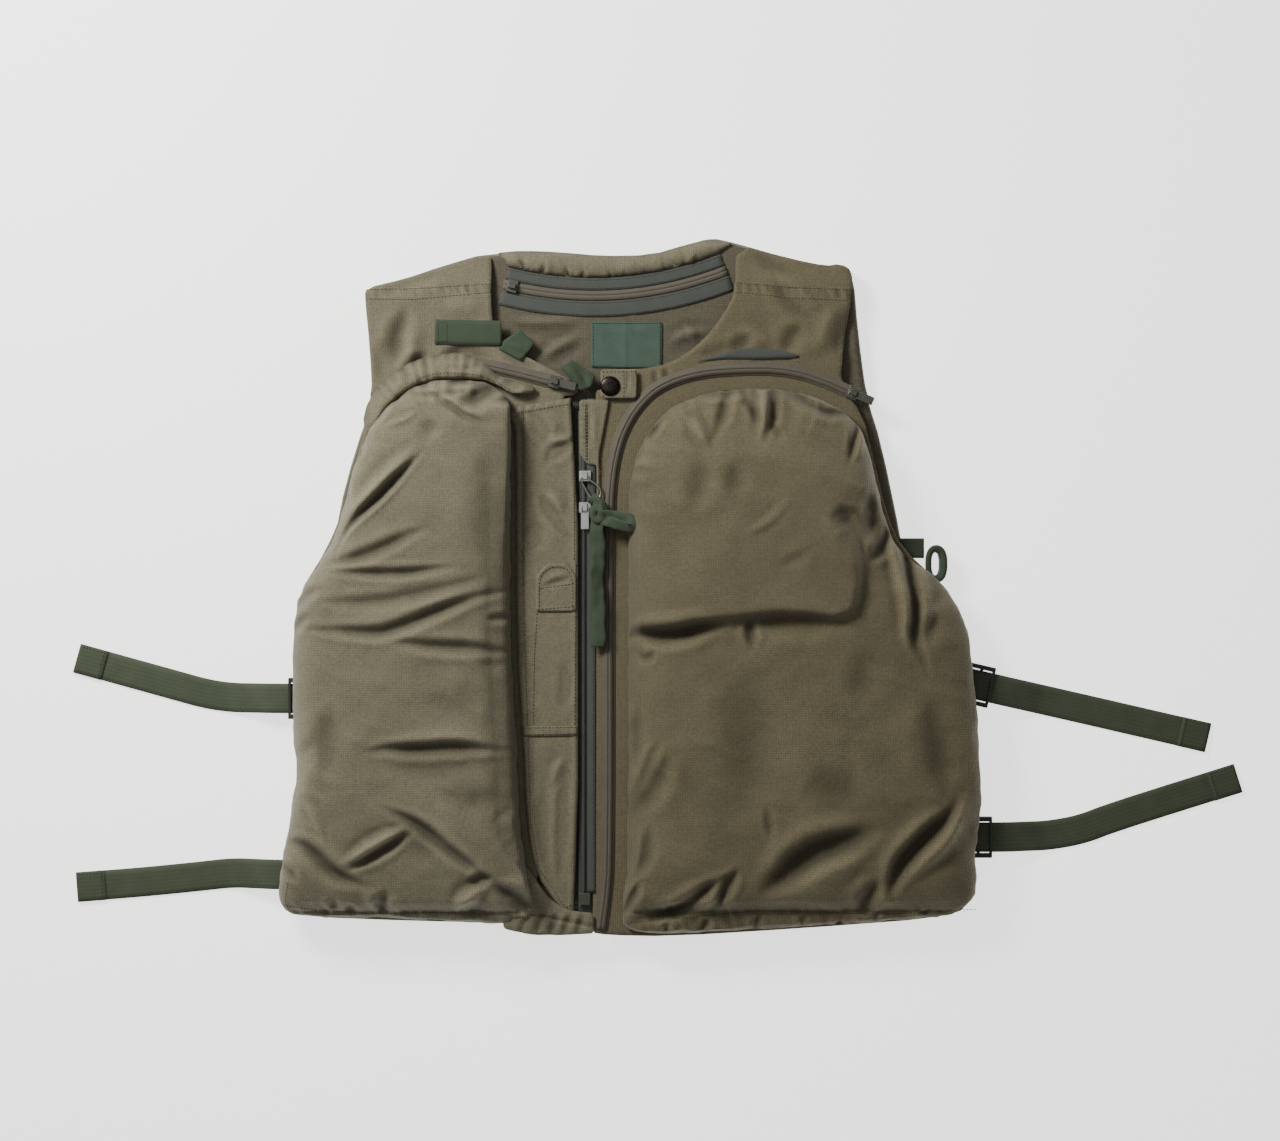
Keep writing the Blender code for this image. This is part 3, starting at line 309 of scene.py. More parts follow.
# ---------------------------------------------------------------- lines and surfaces

def soften(points, rounds=2, closed=True):
    """Round the corners of an outline or an open path by cutting them, a quarter of each side at a time."""
    for _ in range(rounds):
        cut = []
        last = len(points) if closed else len(points) - 1
        for i in range(last):
            a = Vector(points[i])
            b = Vector(points[(i + 1) % len(points)])
            cut += [a.lerp(b, 0.25), a.lerp(b, 0.75)]
        points = cut if closed else [Vector(points[0])] + cut[1:-1] + [Vector(points[-1])]
    return [tuple(p) for p in points]


def nipped(points, size):
    """The closed outline with each corner cut off by a small size."""
    out = []
    for i, point in enumerate(points):
        here = Vector(point)
        for other in (Vector(points[i - 1]), Vector(points[(i + 1) % len(points)])):
            way = other - here
            out.append(tuple(here + way * min(size / way.length, 0.4)))
    return out


def evenly(points, step, closed=False):
    """The line again, with points about step apart."""
    line = [Vector(p) for p in points]
    if closed:
        line.append(line[0])
    lengths = [0.0]
    for a, b in zip(line, line[1:]):
        lengths.append(lengths[-1] + (b - a).length)
    count = max(2, round(lengths[-1] / step))
    spots = [lengths[-1] * k / count for k in range(count if closed else count + 1)]
    out = []
    k = 0
    for spot in spots:
        while k < len(lengths) - 2 and lengths[k + 1] < spot:
            k += 1
        span = lengths[k + 1] - lengths[k]
        out.append(tuple(line[k].lerp(line[k + 1], (spot - lengths[k]) / span if span else 0.0)))
    return out


def step_up(value, low, high):
    """0 below low, 1 above high, smooth between."""
    share = np.clip((value - low) / (high - low), 0, 1)
    return share * share * (3 - 2 * share)


def line_distance(spots, line):
    """For each spot, its distance to the open line and how far along the line it is, from 0 to 1."""
    line = np.array(line, float)[:, :2]
    lengths = np.linalg.norm(line[1:] - line[:-1], axis=1)
    before = np.concatenate([[0], np.cumsum(lengths)])
    best = np.full(len(spots), 1e9)
    along = np.zeros(len(spots))
    for k in range(len(line) - 1):
        a = line[k]
        d = line[k + 1] - a
        t = np.clip(((spots - a) @ d) / max(d @ d, 1e-9), 0, 1)
        gap = np.linalg.norm(spots - (a + t[:, None] * d), axis=1)
        nearer = gap < best
        best[nearer] = gap[nearer]
        along[nearer] = ((before[k] + t * lengths[k]) / before[-1])[nearer]
    return best, along


def edge_distance(spots, outline):
    """How far each spot is inside a closed outline; negative outside."""
    best, _ = line_distance(spots, list(outline) + [outline[0]])
    inside = np.zeros(len(spots), bool)
    x, y = spots[:, 0], spots[:, 1]
    for i, a in enumerate(outline):
        b = outline[(i + 1) % len(outline)]
        if a[1] == b[1]:
            continue
        crosses = (a[1] > y) != (b[1] > y)
        inside ^= crosses & (x < (b[0] - a[0]) * (y - a[1]) / (b[1] - a[1]) + a[0])
    return np.where(inside, best, -best)


def folded(spots, folds):
    """Height that the folds give each spot: a groove with a low shoulder on each side."""
    height = np.zeros(len(spots))
    for depth, width, line in folds:
        gap, along = line_distance(spots, soften(line, 2, closed=False))
        fade = step_up(along, -0.02, 0.4) * (1 - step_up(along, 0.6, 1.02))
        reach = width * (0.5 + 0.5 * fade)
        groove = np.exp(-((gap / reach) ** 2))
        shoulder = 0.34 * np.exp(-(((gap - 2.1 * reach) / reach) ** 2))
        height -= depth * fade * (groove - shoulder)
    return height


def ruffled(spots, size, seed):
    """Soft random height from about -1 to 1, with lumps of that size."""
    return np.array([noise.noise(Vector((x / size + seed, y / size - seed, seed))) for x, y in spots])


def gathered(spots, seam, reach, size, seed):
    """Ripples that run off a gathered seam at right angles and die away over a distance."""
    line = soften(seam, 2, closed=False)
    gap, along = line_distance(spots, line)
    length = sum(math.dist(a, b) for a, b in zip(line, line[1:]))
    ripple = ruffled(np.stack([along * length, gap * 0.22], 1), size, seed)
    return ripple * np.exp(-((gap / reach) ** 2)) * step_up(along, 0, 0.06) * (1 - step_up(along, 0.94, 1))


def puckers(spots, places):
    """Short slanting tucks that sewing leaves across a hem."""
    lines = [(2.6, 2.6, [(x + 4, y + 9), (x, y), (x - 5, y - 9)]) for x, y in places]
    return folded(spots, lines)


def arc_line(radius, lift=0.0):
    """Points along the back of the neck, about the collar's centre."""
    line = []
    for k in range(41):
        angle = math.radians(COLLAR_ANGLES[0] + (COLLAR_ANGLES[1] - COLLAR_ANGLES[0]) * k / 40)
        line.append((COLLAR_CENTRE[0] + radius * math.sin(angle),
                     COLLAR_CENTRE[1] - radius * math.cos(angle), lift))
    return line


# ---------------------------------------------------------------- materials

def add_node(tree, kind, settings=None, links=None):
    """Add a node; settings are its properties or unlinked inputs, links are its linked inputs."""
    node = tree.nodes.new(kind)
    for key, value in (settings or {}).items():
        if isinstance(key, str) and hasattr(node, key):
            setattr(node, key, value)
        else:
            node.inputs[key].default_value = value
    for key, socket in (links or {}).items():
        tree.links.new(socket, node.inputs[key])
    return node


def band_scale(pitch):
    """The Wave Texture scale that repeats every pitch millimetres."""
    return 2 * math.pi / 20 / (pitch * MM)


def grain_scale(size):
    """The Noise Texture scale whose grains are about size millimetres."""
    return 1 / (size * MM)


def new_material(name, roughness, metallic=0.0, sheen=0.0, coat=0.0, specular=0.5):
    """A material with its surface settings made, as (material, its node tree, its shader)."""
    material = bpy.data.materials.new(name)
    material.use_nodes = True
    shader = material.node_tree.nodes["Principled BSDF"]
    shader.inputs["Roughness"].default_value = roughness
    shader.inputs["Metallic"].default_value = metallic
    shader.inputs["Sheen Weight"].default_value = sheen
    shader.inputs["Sheen Roughness"].default_value = 0.5
    shader.inputs["Coat Weight"].default_value = coat
    if not metallic:
        shader.inputs["Specular IOR Level"].default_value = specular
    return material, material.node_tree, shader


def blend_colours(tree, factor, first, second, mode="MIX"):
    """A colour mix whose factor or colours may be sockets or plain values."""
    node = tree.nodes.new("ShaderNodeMix")
    node.data_type = "RGBA"
    node.blend_type = mode
    for socket, value in ((node.inputs[0], factor), (node.inputs[6], first), (node.inputs[7], second)):
        if isinstance(value, bpy.types.NodeSocket):
            tree.links.new(value, socket)
        elif isinstance(value, (int, float)):
            socket.default_value = value
        else:
            socket.default_value = (*value, 1.0)
    return node.outputs[2]


def woven_cloth(name, base, crease, faded, pitch=1.9):
    """Plain-woven cotton: a dull broken grid of threads, cloudy where washing took the dye unevenly,
    darker in the creases, a painted shade, and paler where folds rub. The threads are drawn about four times
    as coarse as real ones so that they show."""
    material, tree, shader = new_material(name, 0.9, sheen=0.12, specular=0.25)
    place = add_node(tree, "ShaderNodeTexCoord").outputs["Object"]
    # The point attribute read here: below 0 it mixes in the crease colour, a painted shade; above 0 the paler colour of
    # rubbed folds
    shaded = add_node(tree, "ShaderNodeAttribute", {"attribute_name": "wear"})
    cloud = add_node(tree, "ShaderNodeTexNoise", {"Scale": grain_scale(46), "Detail": 4.0, "Roughness": 0.6},
                     {"Vector": place})
    fuzz = add_node(tree, "ShaderNodeTexNoise", {"Scale": grain_scale(2.2), "Detail": 3.0, "Roughness": 0.7},
                    {"Vector": place})
    warp = add_node(tree, "ShaderNodeTexWave", {"bands_direction": "X", "Scale": band_scale(pitch),
                                                "Distortion": 1.6, "Detail": 2.0, "Detail Scale": 1.5},
                    {"Vector": place})
    weft = add_node(tree, "ShaderNodeTexWave", {"bands_direction": "Y", "Scale": band_scale(pitch),
                                                "Distortion": 1.6, "Detail": 2.0, "Detail Scale": 1.5},
                    {"Vector": place})
    threads = add_node(tree, "ShaderNodeMath", {"operation": "MULTIPLY"},
                       {0: warp.outputs["Fac"], 1: weft.outputs["Fac"]})
    rubbed = add_node(tree, "ShaderNodeMapRange", {"From Min": 0.0, "From Max": 1.0},
                      {"Value": shaded.outputs["Fac"]})
    sunk = add_node(tree, "ShaderNodeMapRange", {"From Min": 0.0, "From Max": -1.0}, {"Value": shaded.outputs["Fac"]})
    cloudy = add_node(tree, "ShaderNodeMapRange", {"From Min": 0.3, "From Max": 0.7, "To Max": 0.55},
                      {"Value": cloud.outputs["Fac"]})
    colour = blend_colours(tree, cloudy.outputs[0], base, [c * 0.82 for c in base])
    colour = blend_colours(tree, rubbed.outputs[0], colour, faded)
    colour = blend_colours(tree, sunk.outputs[0], colour, crease)
    speckle = add_node(tree, "ShaderNodeMapRange", {"From Min": 0.25, "From Max": 0.75, "To Min": 0.74,
                                                    "To Max": 1.2},
                       {"Value": fuzz.outputs["Fac"]})
    colour = blend_colours(tree, 1.0, colour, speckle.outputs[0], "MULTIPLY")
    ribs = add_node(tree, "ShaderNodeMapRange", {"To Min": 0.8, "To Max": 1.15}, {"Value": threads.outputs[0]})
    colour = blend_colours(tree, 1.0, colour, ribs.outputs[0], "MULTIPLY")
    tree.links.new(colour, shader.inputs["Base Color"])
    rough = add_node(tree, "ShaderNodeMapRange", {"To Min": 0.82, "To Max": 0.97}, {"Value": fuzz.outputs["Fac"]})
    tree.links.new(rough.outputs[0], shader.inputs["Roughness"])
    raised = add_node(tree, "ShaderNodeMath", {"operation": "ADD"}, {0: threads.outputs[0], 1: fuzz.outputs["Fac"]})
    bump = add_node(tree, "ShaderNodeBump", {"Strength": 0.35, "Distance": 0.35 * MM},
                    {"Height": raised.outputs[0]})
    tree.links.new(bump.outputs[0], shader.inputs["Normal"])
    return material


def woven_web(name, base, dark, rib=1.3, lengthwise=3.2, roughness=0.8, sheen=0.1):
    """Woven webbing or zip tape: close cross ribs along its length and faint lengthwise cords, read
    from the piece's own UV map, whose unit is the metre. Filament yarn gives it a slight lustre."""
    material, tree, shader = new_material(name, roughness, sheen=sheen, specular=0.35)
    place = add_node(tree, "ShaderNodeUVMap", {"uv_map": "weave"}).outputs["UV"]
    ribs = add_node(tree, "ShaderNodeTexWave", {"bands_direction": "Y", "Scale": band_scale(rib),
                                                "Distortion": 0.8, "Detail": 1.0}, {"Vector": place})
    cords = add_node(tree, "ShaderNodeTexWave", {"bands_direction": "X", "Scale": band_scale(lengthwise),
                                                 "Distortion": 0.5}, {"Vector": place})
    cloud = add_node(tree, "ShaderNodeTexNoise", {"Scale": grain_scale(14), "Detail": 3.0}, {"Vector": place})
    weave = add_node(tree, "ShaderNodeMath", {"operation": "MULTIPLY_ADD", 2: 0.0},
                     {0: ribs.outputs["Fac"], 1: cords.outputs["Fac"]})
    mixed = add_node(tree, "ShaderNodeMath", {"operation": "MULTIPLY_ADD", 1: 0.6},
                     {0: weave.outputs[0], 2: cloud.outputs["Fac"]})
    shade = add_node(tree, "ShaderNodeMapRange", {"From Min": 0.0, "From Max": 1.1}, {"Value": mixed.outputs[0]})
    colour = blend_colours(tree, shade.outputs[0], dark, base)
    tree.links.new(colour, shader.inputs["Base Color"])
    bump = add_node(tree, "ShaderNodeBump", {"Strength": 0.4, "Distance": 0.3 * MM}, {"Height": weave.outputs[0]})
    tree.links.new(bump.outputs[0], shader.inputs["Normal"])
    return material


def smooth_stuff(name, base, dark, roughness, metallic=0.0, grain=1.5, depth=0.04, coat=0.0):
    """Metal, moulded plastic or thread: an even colour broken by fine handling marks."""
    material, tree, shader = new_material(name, roughness, metallic=metallic, coat=coat)
    place = add_node(tree, "ShaderNodeTexCoord").outputs["Object"]
    marks = add_node(tree, "ShaderNodeTexNoise", {"Scale": grain_scale(grain), "Detail": 5.0, "Roughness": 0.6},
                     {"Vector": place})
    shade = add_node(tree, "ShaderNodeMapRange", {"From Min": 0.35, "From Max": 0.65},
                     {"Value": marks.outputs["Fac"]})
    colour = blend_colours(tree, shade.outputs[0], dark, base)
    tree.links.new(colour, shader.inputs["Base Color"])
    rough = add_node(tree, "ShaderNodeMapRange",
                     {"To Min": max(roughness - 0.12, 0.05), "To Max": min(roughness + 0.12, 1.0)},
                     {"Value": marks.outputs["Fac"]})
    tree.links.new(rough.outputs[0], shader.inputs["Roughness"])
    bump = add_node(tree, "ShaderNodeBump", {"Strength": 0.3, "Distance": depth * MM},
                    {"Height": marks.outputs["Fac"]})
    tree.links.new(bump.outputs[0], shader.inputs["Normal"])
    return material


def palette():
    """The vest's materials by a short name, made once from the colours in the sidebar."""
    if "olive_cotton_cloth" not in bpy.data.materials:
        tones = bpy.context.scene.vest_colours
        cotton = tuple(tones.cotton)
        lining = tuple(tones.lining)
        web = tuple(tones.webbing)
        # Each cloth's second colour is its crease colour, a painted shade; the third is the paler colour of rubbed
        # folds
        woven_cloth("olive_cotton_cloth", cotton, [c * 0.42 for c in cotton], [min(c * 1.3, 1) for c in cotton])
        # The right front's cloth is a darker, browner copy of the outer cloth: painted shade where the light falls off
        # towards the right, over a browner tone
        shaded = tuple(tones.shaded_cotton)
        woven_cloth("worn_cotton_cloth", shaded, [c * 0.4 for c in shaded], [min(c * 1.3, 1) for c in shaded])
        woven_cloth("lining_cotton_cloth", lining, [c * 0.42 for c in lining], [min(c * 1.25, 1) for c in lining])
        woven_web("olive_nylon_webbing", web, [c * 0.6 for c in web])
        woven_web("green_nylon_ribbon", tuple(tones.ribbon), [c * 0.6 for c in tones.ribbon], rib=0.9,
                  lengthwise=1.8)
        woven_web("zip_tape_weave", tuple(tones.zip_tape), [c * 0.7 for c in tones.zip_tape], rib=0.9,
                  lengthwise=1.3)
        woven_web("reversed_coil_tape", tuple(tones.coil_tape), [c * 0.72 for c in tones.coil_tape], rib=0.9,
                  lengthwise=1.0, roughness=0.7)
        woven_web("woven_label_cloth", tuple(tones.label), [c * 0.7 for c in tones.label], rib=0.8, lengthwise=0.8)
        smooth_stuff("nylon_zip_coil", linear("211F1D"), linear("151413"), 0.45, grain=0.8)
        smooth_stuff("nickel_plated_zinc", linear("B4B5B0"), linear("A2A39E"), 0.32, metallic=1.0, grain=3.5,
                     depth=0.01)
        smooth_stuff("enamelled_zinc", linear("45453B"), linear("33342D"), 0.42, metallic=0.0, grain=2.0,
                     depth=0.01, coat=0.2)
        smooth_stuff("blackened_brass", linear("3B3634"), linear("1F1B1A"), 0.38, metallic=1.0, grain=1.6)
        smooth_stuff("moulded_nylon", linear("252A22"), linear("1A1D18"), 0.5, grain=0.9, depth=0.08)
        smooth_stuff("olive_sewing_thread", linear("5B5645"), linear("3F3B2E"), 0.8, grain=0.7)
        smooth_stuff("green_sewing_thread", linear("35493C"), linear("22332A"), 0.75, grain=0.7)
        smooth_stuff("label_sewing_thread", linear("2F4A40"), linear("223A32"), 0.75, grain=0.7)
    return bpy.data.materials


# ---------------------------------------------------------------- mesh builders

def mesh_piece(name, points, faces, material, wear=None):
    """A piece at the origin from points in millimetres, with a value for each point if given that paints crease shade
    where below 0 and the paler colour of rubbed folds where above 0.
    """
    mesh = bpy.data.meshes.new(name)
    mesh.from_pydata([(x * MM, y * MM, z * MM) for x, y, z in points], [], faces)
    mesh.validate()
    mesh.materials.append(palette()[material])
    mesh.shade_smooth()
    if wear is not None:
        attribute = mesh.attributes.new("wear", "FLOAT", "POINT")
        attribute.data.foreach_set("value", np.asarray(wear, np.float32))
    obj = bpy.data.objects.new(name, mesh)
    bpy.context.collection.objects.link(obj)
    return obj


def face_outwards(obj):
    """Turn every face's normal to the outside."""
    bm = bmesh.new()
    bm.from_mesh(obj.data)
    bmesh.ops.recalc_face_normals(bm, faces=bm.faces)
    bm.to_mesh(obj.data)
    bm.free()


def settle(obj, body, slot, *nodes):
    """Put a finished piece on its body and hide the frame's parts that it stands for."""
    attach(obj, body)
    if nodes:
        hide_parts(*nodes)
    return obj


def outline_cloth(name, outline, step, top, thick, material, edge=1.2, under=None):
    """A closed sheet over an outline. top gives the upper level of each spot, thick its thickness, and
    edge is how far in the rim is rounded. under, if given, is the lower level instead of top - thick."""
    rim = [p[:2] for p in evenly(outline, step, closed=True)]
    xs = [p[0] for p in rim]
    ys = [p[1] for p in rim]
    grid = []
    rows = int((max(ys) - min(ys)) / (step * 0.866)) + 1
    for j in range(rows):
        y = min(ys) + j * step * 0.866
        shift = step / 2 if j % 2 else 0.0
        for i in range(int((max(xs) - min(xs)) / step) + 1):
            grid.append((min(xs) + i * step + shift, y))
    grid = np.array(grid)
    inner = grid[edge_distance(grid, rim) > step * 0.7]
    spots = [Vector(p) for p in rim] + [Vector(p) for p in inner]
    count = len(rim)
    made = geometry.delaunay_2d_cdt(spots, [(i, (i + 1) % count) for i in range(count)], [], 1, 1e-4)
    flat = np.array([tuple(p) for p in made[0]])
    triangles = [tuple(f) for f in made[2]]
    high = top(flat)
    low = under(flat) if under else high - thick
    rounded = np.sqrt(np.clip(1 - (1 - np.clip(edge_distance(flat, rim) / edge, 0, 1)) ** 2, 0, 1))
    middle = (high + low) / 2
    reach = (high - low) / 2 * (0.25 + 0.75 * rounded)
    total = len(flat)
    points = [(x, y, m + r) for (x, y), m, r in zip(flat, middle, reach)]
    points += [(x, y, m - r) for (x, y), m, r in zip(flat, middle, reach)]
    faces = []
    sides = {}
    for a, b, c in triangles:
        if (flat[b] - flat[a])[0] * (flat[c] - flat[a])[1] - (flat[b] - flat[a])[1] * (flat[c] - flat[a])[0] < 0:
            b, c = c, b
        faces += [(a, b, c), (a + total, c + total, b + total)]
        for p, q in ((a, b), (b, c), (c, a)):
            sides[p, q] = True
    for p, q in sides:
        if (q, p) not in sides:
            faces.append((q, p, p + total, q + total))
    # Painted shade: spots lower than their smoothed neighbourhood get the darker crease colour, spots higher the paler
    # colour of rubbed folds; the underside gets neither
    wear = np.clip((high - smoothed(high, triangles)) * 0.5, -1, 1)
    obj = mesh_piece(name, points, faces, material, wear=np.concatenate([wear, wear * 0]))
    add_flat_uv(obj)
    return obj


def smoothed(values, triangles, rounds=6):
    """The values averaged with their neighbours', several times over."""
    edges = {tuple(sorted(pair)) for t in triangles for pair in ((t[0], t[1]), (t[1], t[2]), (t[2], t[0]))}
    edges = np.array(sorted(edges))
    out = values.astype(float).copy()
    for _ in range(rounds):
        total = np.zeros(len(out))
        weight = np.zeros(len(out))
        np.add.at(total, edges[:, 0], out[edges[:, 1]])
        np.add.at(total, edges[:, 1], out[edges[:, 0]])
        np.add.at(weight, edges[:, 0], 1)
        np.add.at(weight, edges[:, 1], 1)
        out = 0.4 * out + 0.6 * total / np.maximum(weight, 1)
    return out


def add_flat_uv(obj):
    """A UV map in metres seen from above."""
    layer = obj.data.uv_layers.new(name="weave")
    for loop in obj.data.loops:
        layer.data[loop.index].uv = obj.data.vertices[loop.vertex_index].co.xy


def web_section(width, thick, crown=0.0, steps=6):
    """The closed cross-section of a flat band with rounded edges, as (across, up)."""
    top = []
    bottom = []
    for k in range(steps + 1):
        share = -1 + 2 * k / steps
        rise = thick / 2 * (0.55 if abs(share) == 1 else 1.0)
        top.append((share * width / 2, rise + crown * (1 - share * share)))
        bottom.append((share * width / 2, -rise + crown * (1 - share * share)))
    return bottom + top[::-1]


def round_section(radius, sides=10):
    """The closed cross-section of a round cord or wire, as (across, up)."""
    return [(radius * math.cos(2 * math.pi * k / sides), radius * math.sin(2 * math.pi * k / sides))
            for k in range(sides)]


def swept(name, path, section, material, closed=False, lean=None):
    """A band or cord along a path of (x, y, z). lean turns the section about the path, in degrees, as a
    function of the share of the way along."""
    points = [Vector(p) for p in path]
    count = len(points)
    out = []
    lengths = [0.0]
    for a, b in zip(points, points[1:]):
        lengths.append(lengths[-1] + (b - a).length)
    for i, point in enumerate(points):
        before = points[i - 1] if closed or i > 0 else point
        after = points[(i + 1) % count] if closed or i < count - 1 else point
        along = (after - before).normalized()
        side = along.cross(Vector((0, 0, 1)))
        side = side.normalized() if side.length > 1e-6 else Vector((1, 0, 0))
        up = side.cross(along)
        share = lengths[i] / lengths[-1]
        if lean:
            turn = Matrix.Rotation(math.radians(lean(share)), 3, along)
            side, up = turn @ side, turn @ up
        out += [tuple(point + side * s + up * u) for s, u in section]
    ring = len(section)
    faces = []
    spots = []
    for i in range(count if closed else count - 1):
        j = (i + 1) % count
        for k in range(ring):
            m = (k + 1) % ring
            faces.append((i * ring + k, i * ring + m, j * ring + m, j * ring + k))
            far = lengths[i + 1] if i + 1 < count else lengths[-1] + 1.0
            spots.append([(section[k][0], lengths[i]), (section[m][0], lengths[i]), (section[m][0], far),
                          (section[k][0], far)])
    if not closed:
        faces.append(tuple(range(ring)))
        faces.append(tuple((count - 1) * ring + k for k in reversed(range(ring))))
        spots += [[(s, 0.0) for s, _ in section], [(s, lengths[-1]) for s, _ in reversed(section)]]
    obj = mesh_piece(name, out, faces, material)
    layer = obj.data.uv_layers.new(name="weave")
    for polygon, corners in zip(obj.data.polygons, spots):
        for loop, (across, far) in zip(polygon.loop_indices, corners):
            layer.data[loop].uv = (across * MM, far * MM)
    face_outwards(obj)
    return obj


def joined(name, pieces):
    """Several objects made one."""
    with bpy.context.temp_override(active_object=pieces[0], selected_editable_objects=pieces):
        bpy.ops.object.join()
    pieces[0].name = name
    pieces[0].data.name = name
    return pieces[0]


def hard_piece(name, node, material, slot, body, bevel=0.35):
    """A hard part on its own solid's shape, with its edges eased."""
    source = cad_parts[node]
    mesh = source.data.copy()
    mesh.name = name
    bm = bmesh.new()
    bm.from_mesh(mesh)
    bmesh.ops.remove_doubles(bm, verts=bm.verts, dist=0.00002)
    bmesh.ops.dissolve_limit(bm, angle_limit=math.radians(2), verts=bm.verts, edges=bm.edges)
    bm.to_mesh(mesh)
    bm.free()
    mesh.materials.clear()
    mesh.materials.append(palette()[material])
    obj = bpy.data.objects.new(name, mesh)
    bpy.context.collection.objects.link(obj)
    rounding = obj.modifiers.new("eased_edges", "BEVEL")
    rounding.width = bevel * MM
    rounding.segments = 3
    rounding.limit_method = "ANGLE"
    rounding.angle_limit = math.radians(30)
    rounding.harden_normals = True
    mesh.shade_smooth()
    mesh.set_sharp_from_angle(angle=math.radians(SHARP_ANGLE))
    return settle(obj, body, slot, node)


def surface_of(*objs):
    """A function that gives the highest level of these pieces at (x, y), in mm, or None beside them."""
    depsgraph = bpy.context.evaluated_depsgraph_get()
    trees = [BVHTree.FromObject(o, depsgraph) for o in objs]

    def level(x, y, fallback=None):
        heights = []
        for tree in trees:
            hit = tree.ray_cast(Vector((x * MM, y * MM, 1.0)), Vector((0, 0, -1)))
            if hit[0] is not None:
                heights.append(hit[0].z / MM)
        return max(heights) if heights else fallback

    return level


def repeat_tree():
    """Geometry Nodes that set a small rounded bead at even spaces along lines: stitches and coil turns."""
    if "repeat_along_line" in bpy.data.node_groups:
        return bpy.data.node_groups["repeat_along_line"]
    tree = bpy.data.node_groups.new("repeat_along_line", "GeometryNodeTree")
    tree.is_modifier = True
    for label, kind, default in (
        ("Lines", "NodeSocketGeometry", None), ("Spacing", "NodeSocketFloat", 0.003),
        ("Bead size", "NodeSocketVector", (0.001, 0.0003, 0.0003)), ("Bead material", "NodeSocketMaterial", None),
    ):
        socket = tree.interface.new_socket(label, in_out="INPUT", socket_type=kind)
        if default is not None:
            socket.default_value = default
    tree.interface.new_socket("Beads", in_out="OUTPUT", socket_type="NodeSocketGeometry")
    given = add_node(tree, "NodeGroupInput")
    lines = add_node(tree, "GeometryNodeMeshToCurve", links={"Mesh": given.outputs["Lines"]})
    spaced = add_node(tree, "GeometryNodeResampleCurve", {"mode": "LENGTH"},
                      {"Curve": lines.outputs[0], "Length": given.outputs["Spacing"]})
    bead = add_node(tree, "GeometryNodeMeshIcoSphere", {"Radius": 1.0, "Subdivisions": 1})
    tangent = add_node(tree, "GeometryNodeInputTangent")
    aim = add_node(tree, "FunctionNodeAlignRotationToVector", {"axis": "X"}, {"Vector": tangent.outputs[0]})
    placed = add_node(tree, "GeometryNodeInstanceOnPoints", links={
        "Points": spaced.outputs[0], "Instance": bead.outputs["Mesh"], "Rotation": aim.outputs[0],
        "Scale": given.outputs["Bead size"]})
    real = add_node(tree, "GeometryNodeRealizeInstances", links={"Geometry": placed.outputs[0]})
    soft = add_node(tree, "GeometryNodeSetShadeSmooth", links={"Geometry": real.outputs[0]})
    coloured = add_node(tree, "GeometryNodeSetMaterial",
                        links={"Geometry": soft.outputs[0], "Material": given.outputs["Bead material"]})
    add_node(tree, "NodeGroupOutput", links={"Beads": coloured.outputs[0]})
    return tree


def beads_along(name, lines, spacing, size, material, body, slot):
    """Beads of a size (along, across, high) in mm at even spaces along lines of (x, y, z) in mm."""
    mesh = bpy.data.meshes.new(name + "_lines")
    points = []
    edges = []
    for line in lines:
        edges += [(len(points) + k, len(points) + k + 1) for k in range(len(line) - 1)]
        points += [(x * MM, y * MM, z * MM) for x, y, z in line]
    mesh.from_pydata(points, edges, [])
    source = bpy.data.objects.new(name + "_lines", mesh)
    bpy.context.collection.objects.link(source)
    modifier = source.modifiers.new("beads", "NODES")
    modifier.node_group = repeat_tree()
    names = {s.name: s.identifier for s in modifier.node_group.interface.items_tree if s.in_out == "INPUT"}
    modifier[names["Spacing"]] = spacing * MM
    modifier[names["Bead size"]] = tuple(v * MM / 2 for v in size)
    modifier[names["Bead material"]] = palette()[material]
    source.update_tag()
    bpy.context.view_layer.update()
    evaluated = source.evaluated_get(bpy.context.evaluated_depsgraph_get())
    baked = bpy.data.meshes.new_from_object(evaluated)
    baked.name = name
    if not baked.materials:
        baked.materials.append(palette()[material])
    obj = bpy.data.objects.new(name, baked)
    bpy.context.collection.objects.link(obj)
    source.modifiers.clear()
    bpy.data.objects.remove(source)
    return settle(obj, body, slot)


def stitch_rows(name, rows, body, over, thread="olive_sewing_thread", spacing=None, lift=0.15, slot="cotton"):
    """Rows of stitches that lie on the pieces in over. Each row is a line of (x, y)."""
    level = surface_of(*over)
    lines = []
    for row in rows:
        line = []
        last = None
        for x, y in [p[:2] for p in evenly(row, 2.0)]:
            z = level(x, y, last)
            if z is None:
                continue
            last = z
            line.append((x, y, z + lift))
        if len(line) > 1:
            lines.append(line)
    spacing = spacing or bpy.context.scene.vest_sizes.stitch / MM
    return beads_along(name, lines, spacing, STITCH_SIZE, thread, body, slot)


# ---------------------------------------------------------------- the soft pieces

def pillow(name, outline, centre, cloth):
    """A closed crowned pillow on an outline, a little smaller than its pocket."""
    soft = soften(outline, 1)
    points = []
    for share, z in [(PAD_SHRINK, PAD_FLOOR)] + [(share * PAD_SHRINK, z) for share, z in PAD_CROWN]:
        points += [(centre[0] + share * (x - centre[0]), centre[1] + share * (y - centre[1]), z) for x, y in soft]
    count = len(soft)
    faces = []
    for k in range(len(PAD_CROWN)):
        for i in range(count):
            j = (i + 1) % count
            faces.append((k * count + i, k * count + j, (k + 1) * count + j, (k + 1) * count + i))
    low = len(points)
    points += [(*centre, PAD_FLOOR), (*centre, PAD_TOP)]
    last = len(PAD_CROWN) * count
    for i in range(count):
        j = (i + 1) % count
        faces += [(i, low, j), (last + i, last + j, low + 1)]
    obj = mesh_piece(name, points, faces, cloth)
    face_outwards(obj)
    return obj


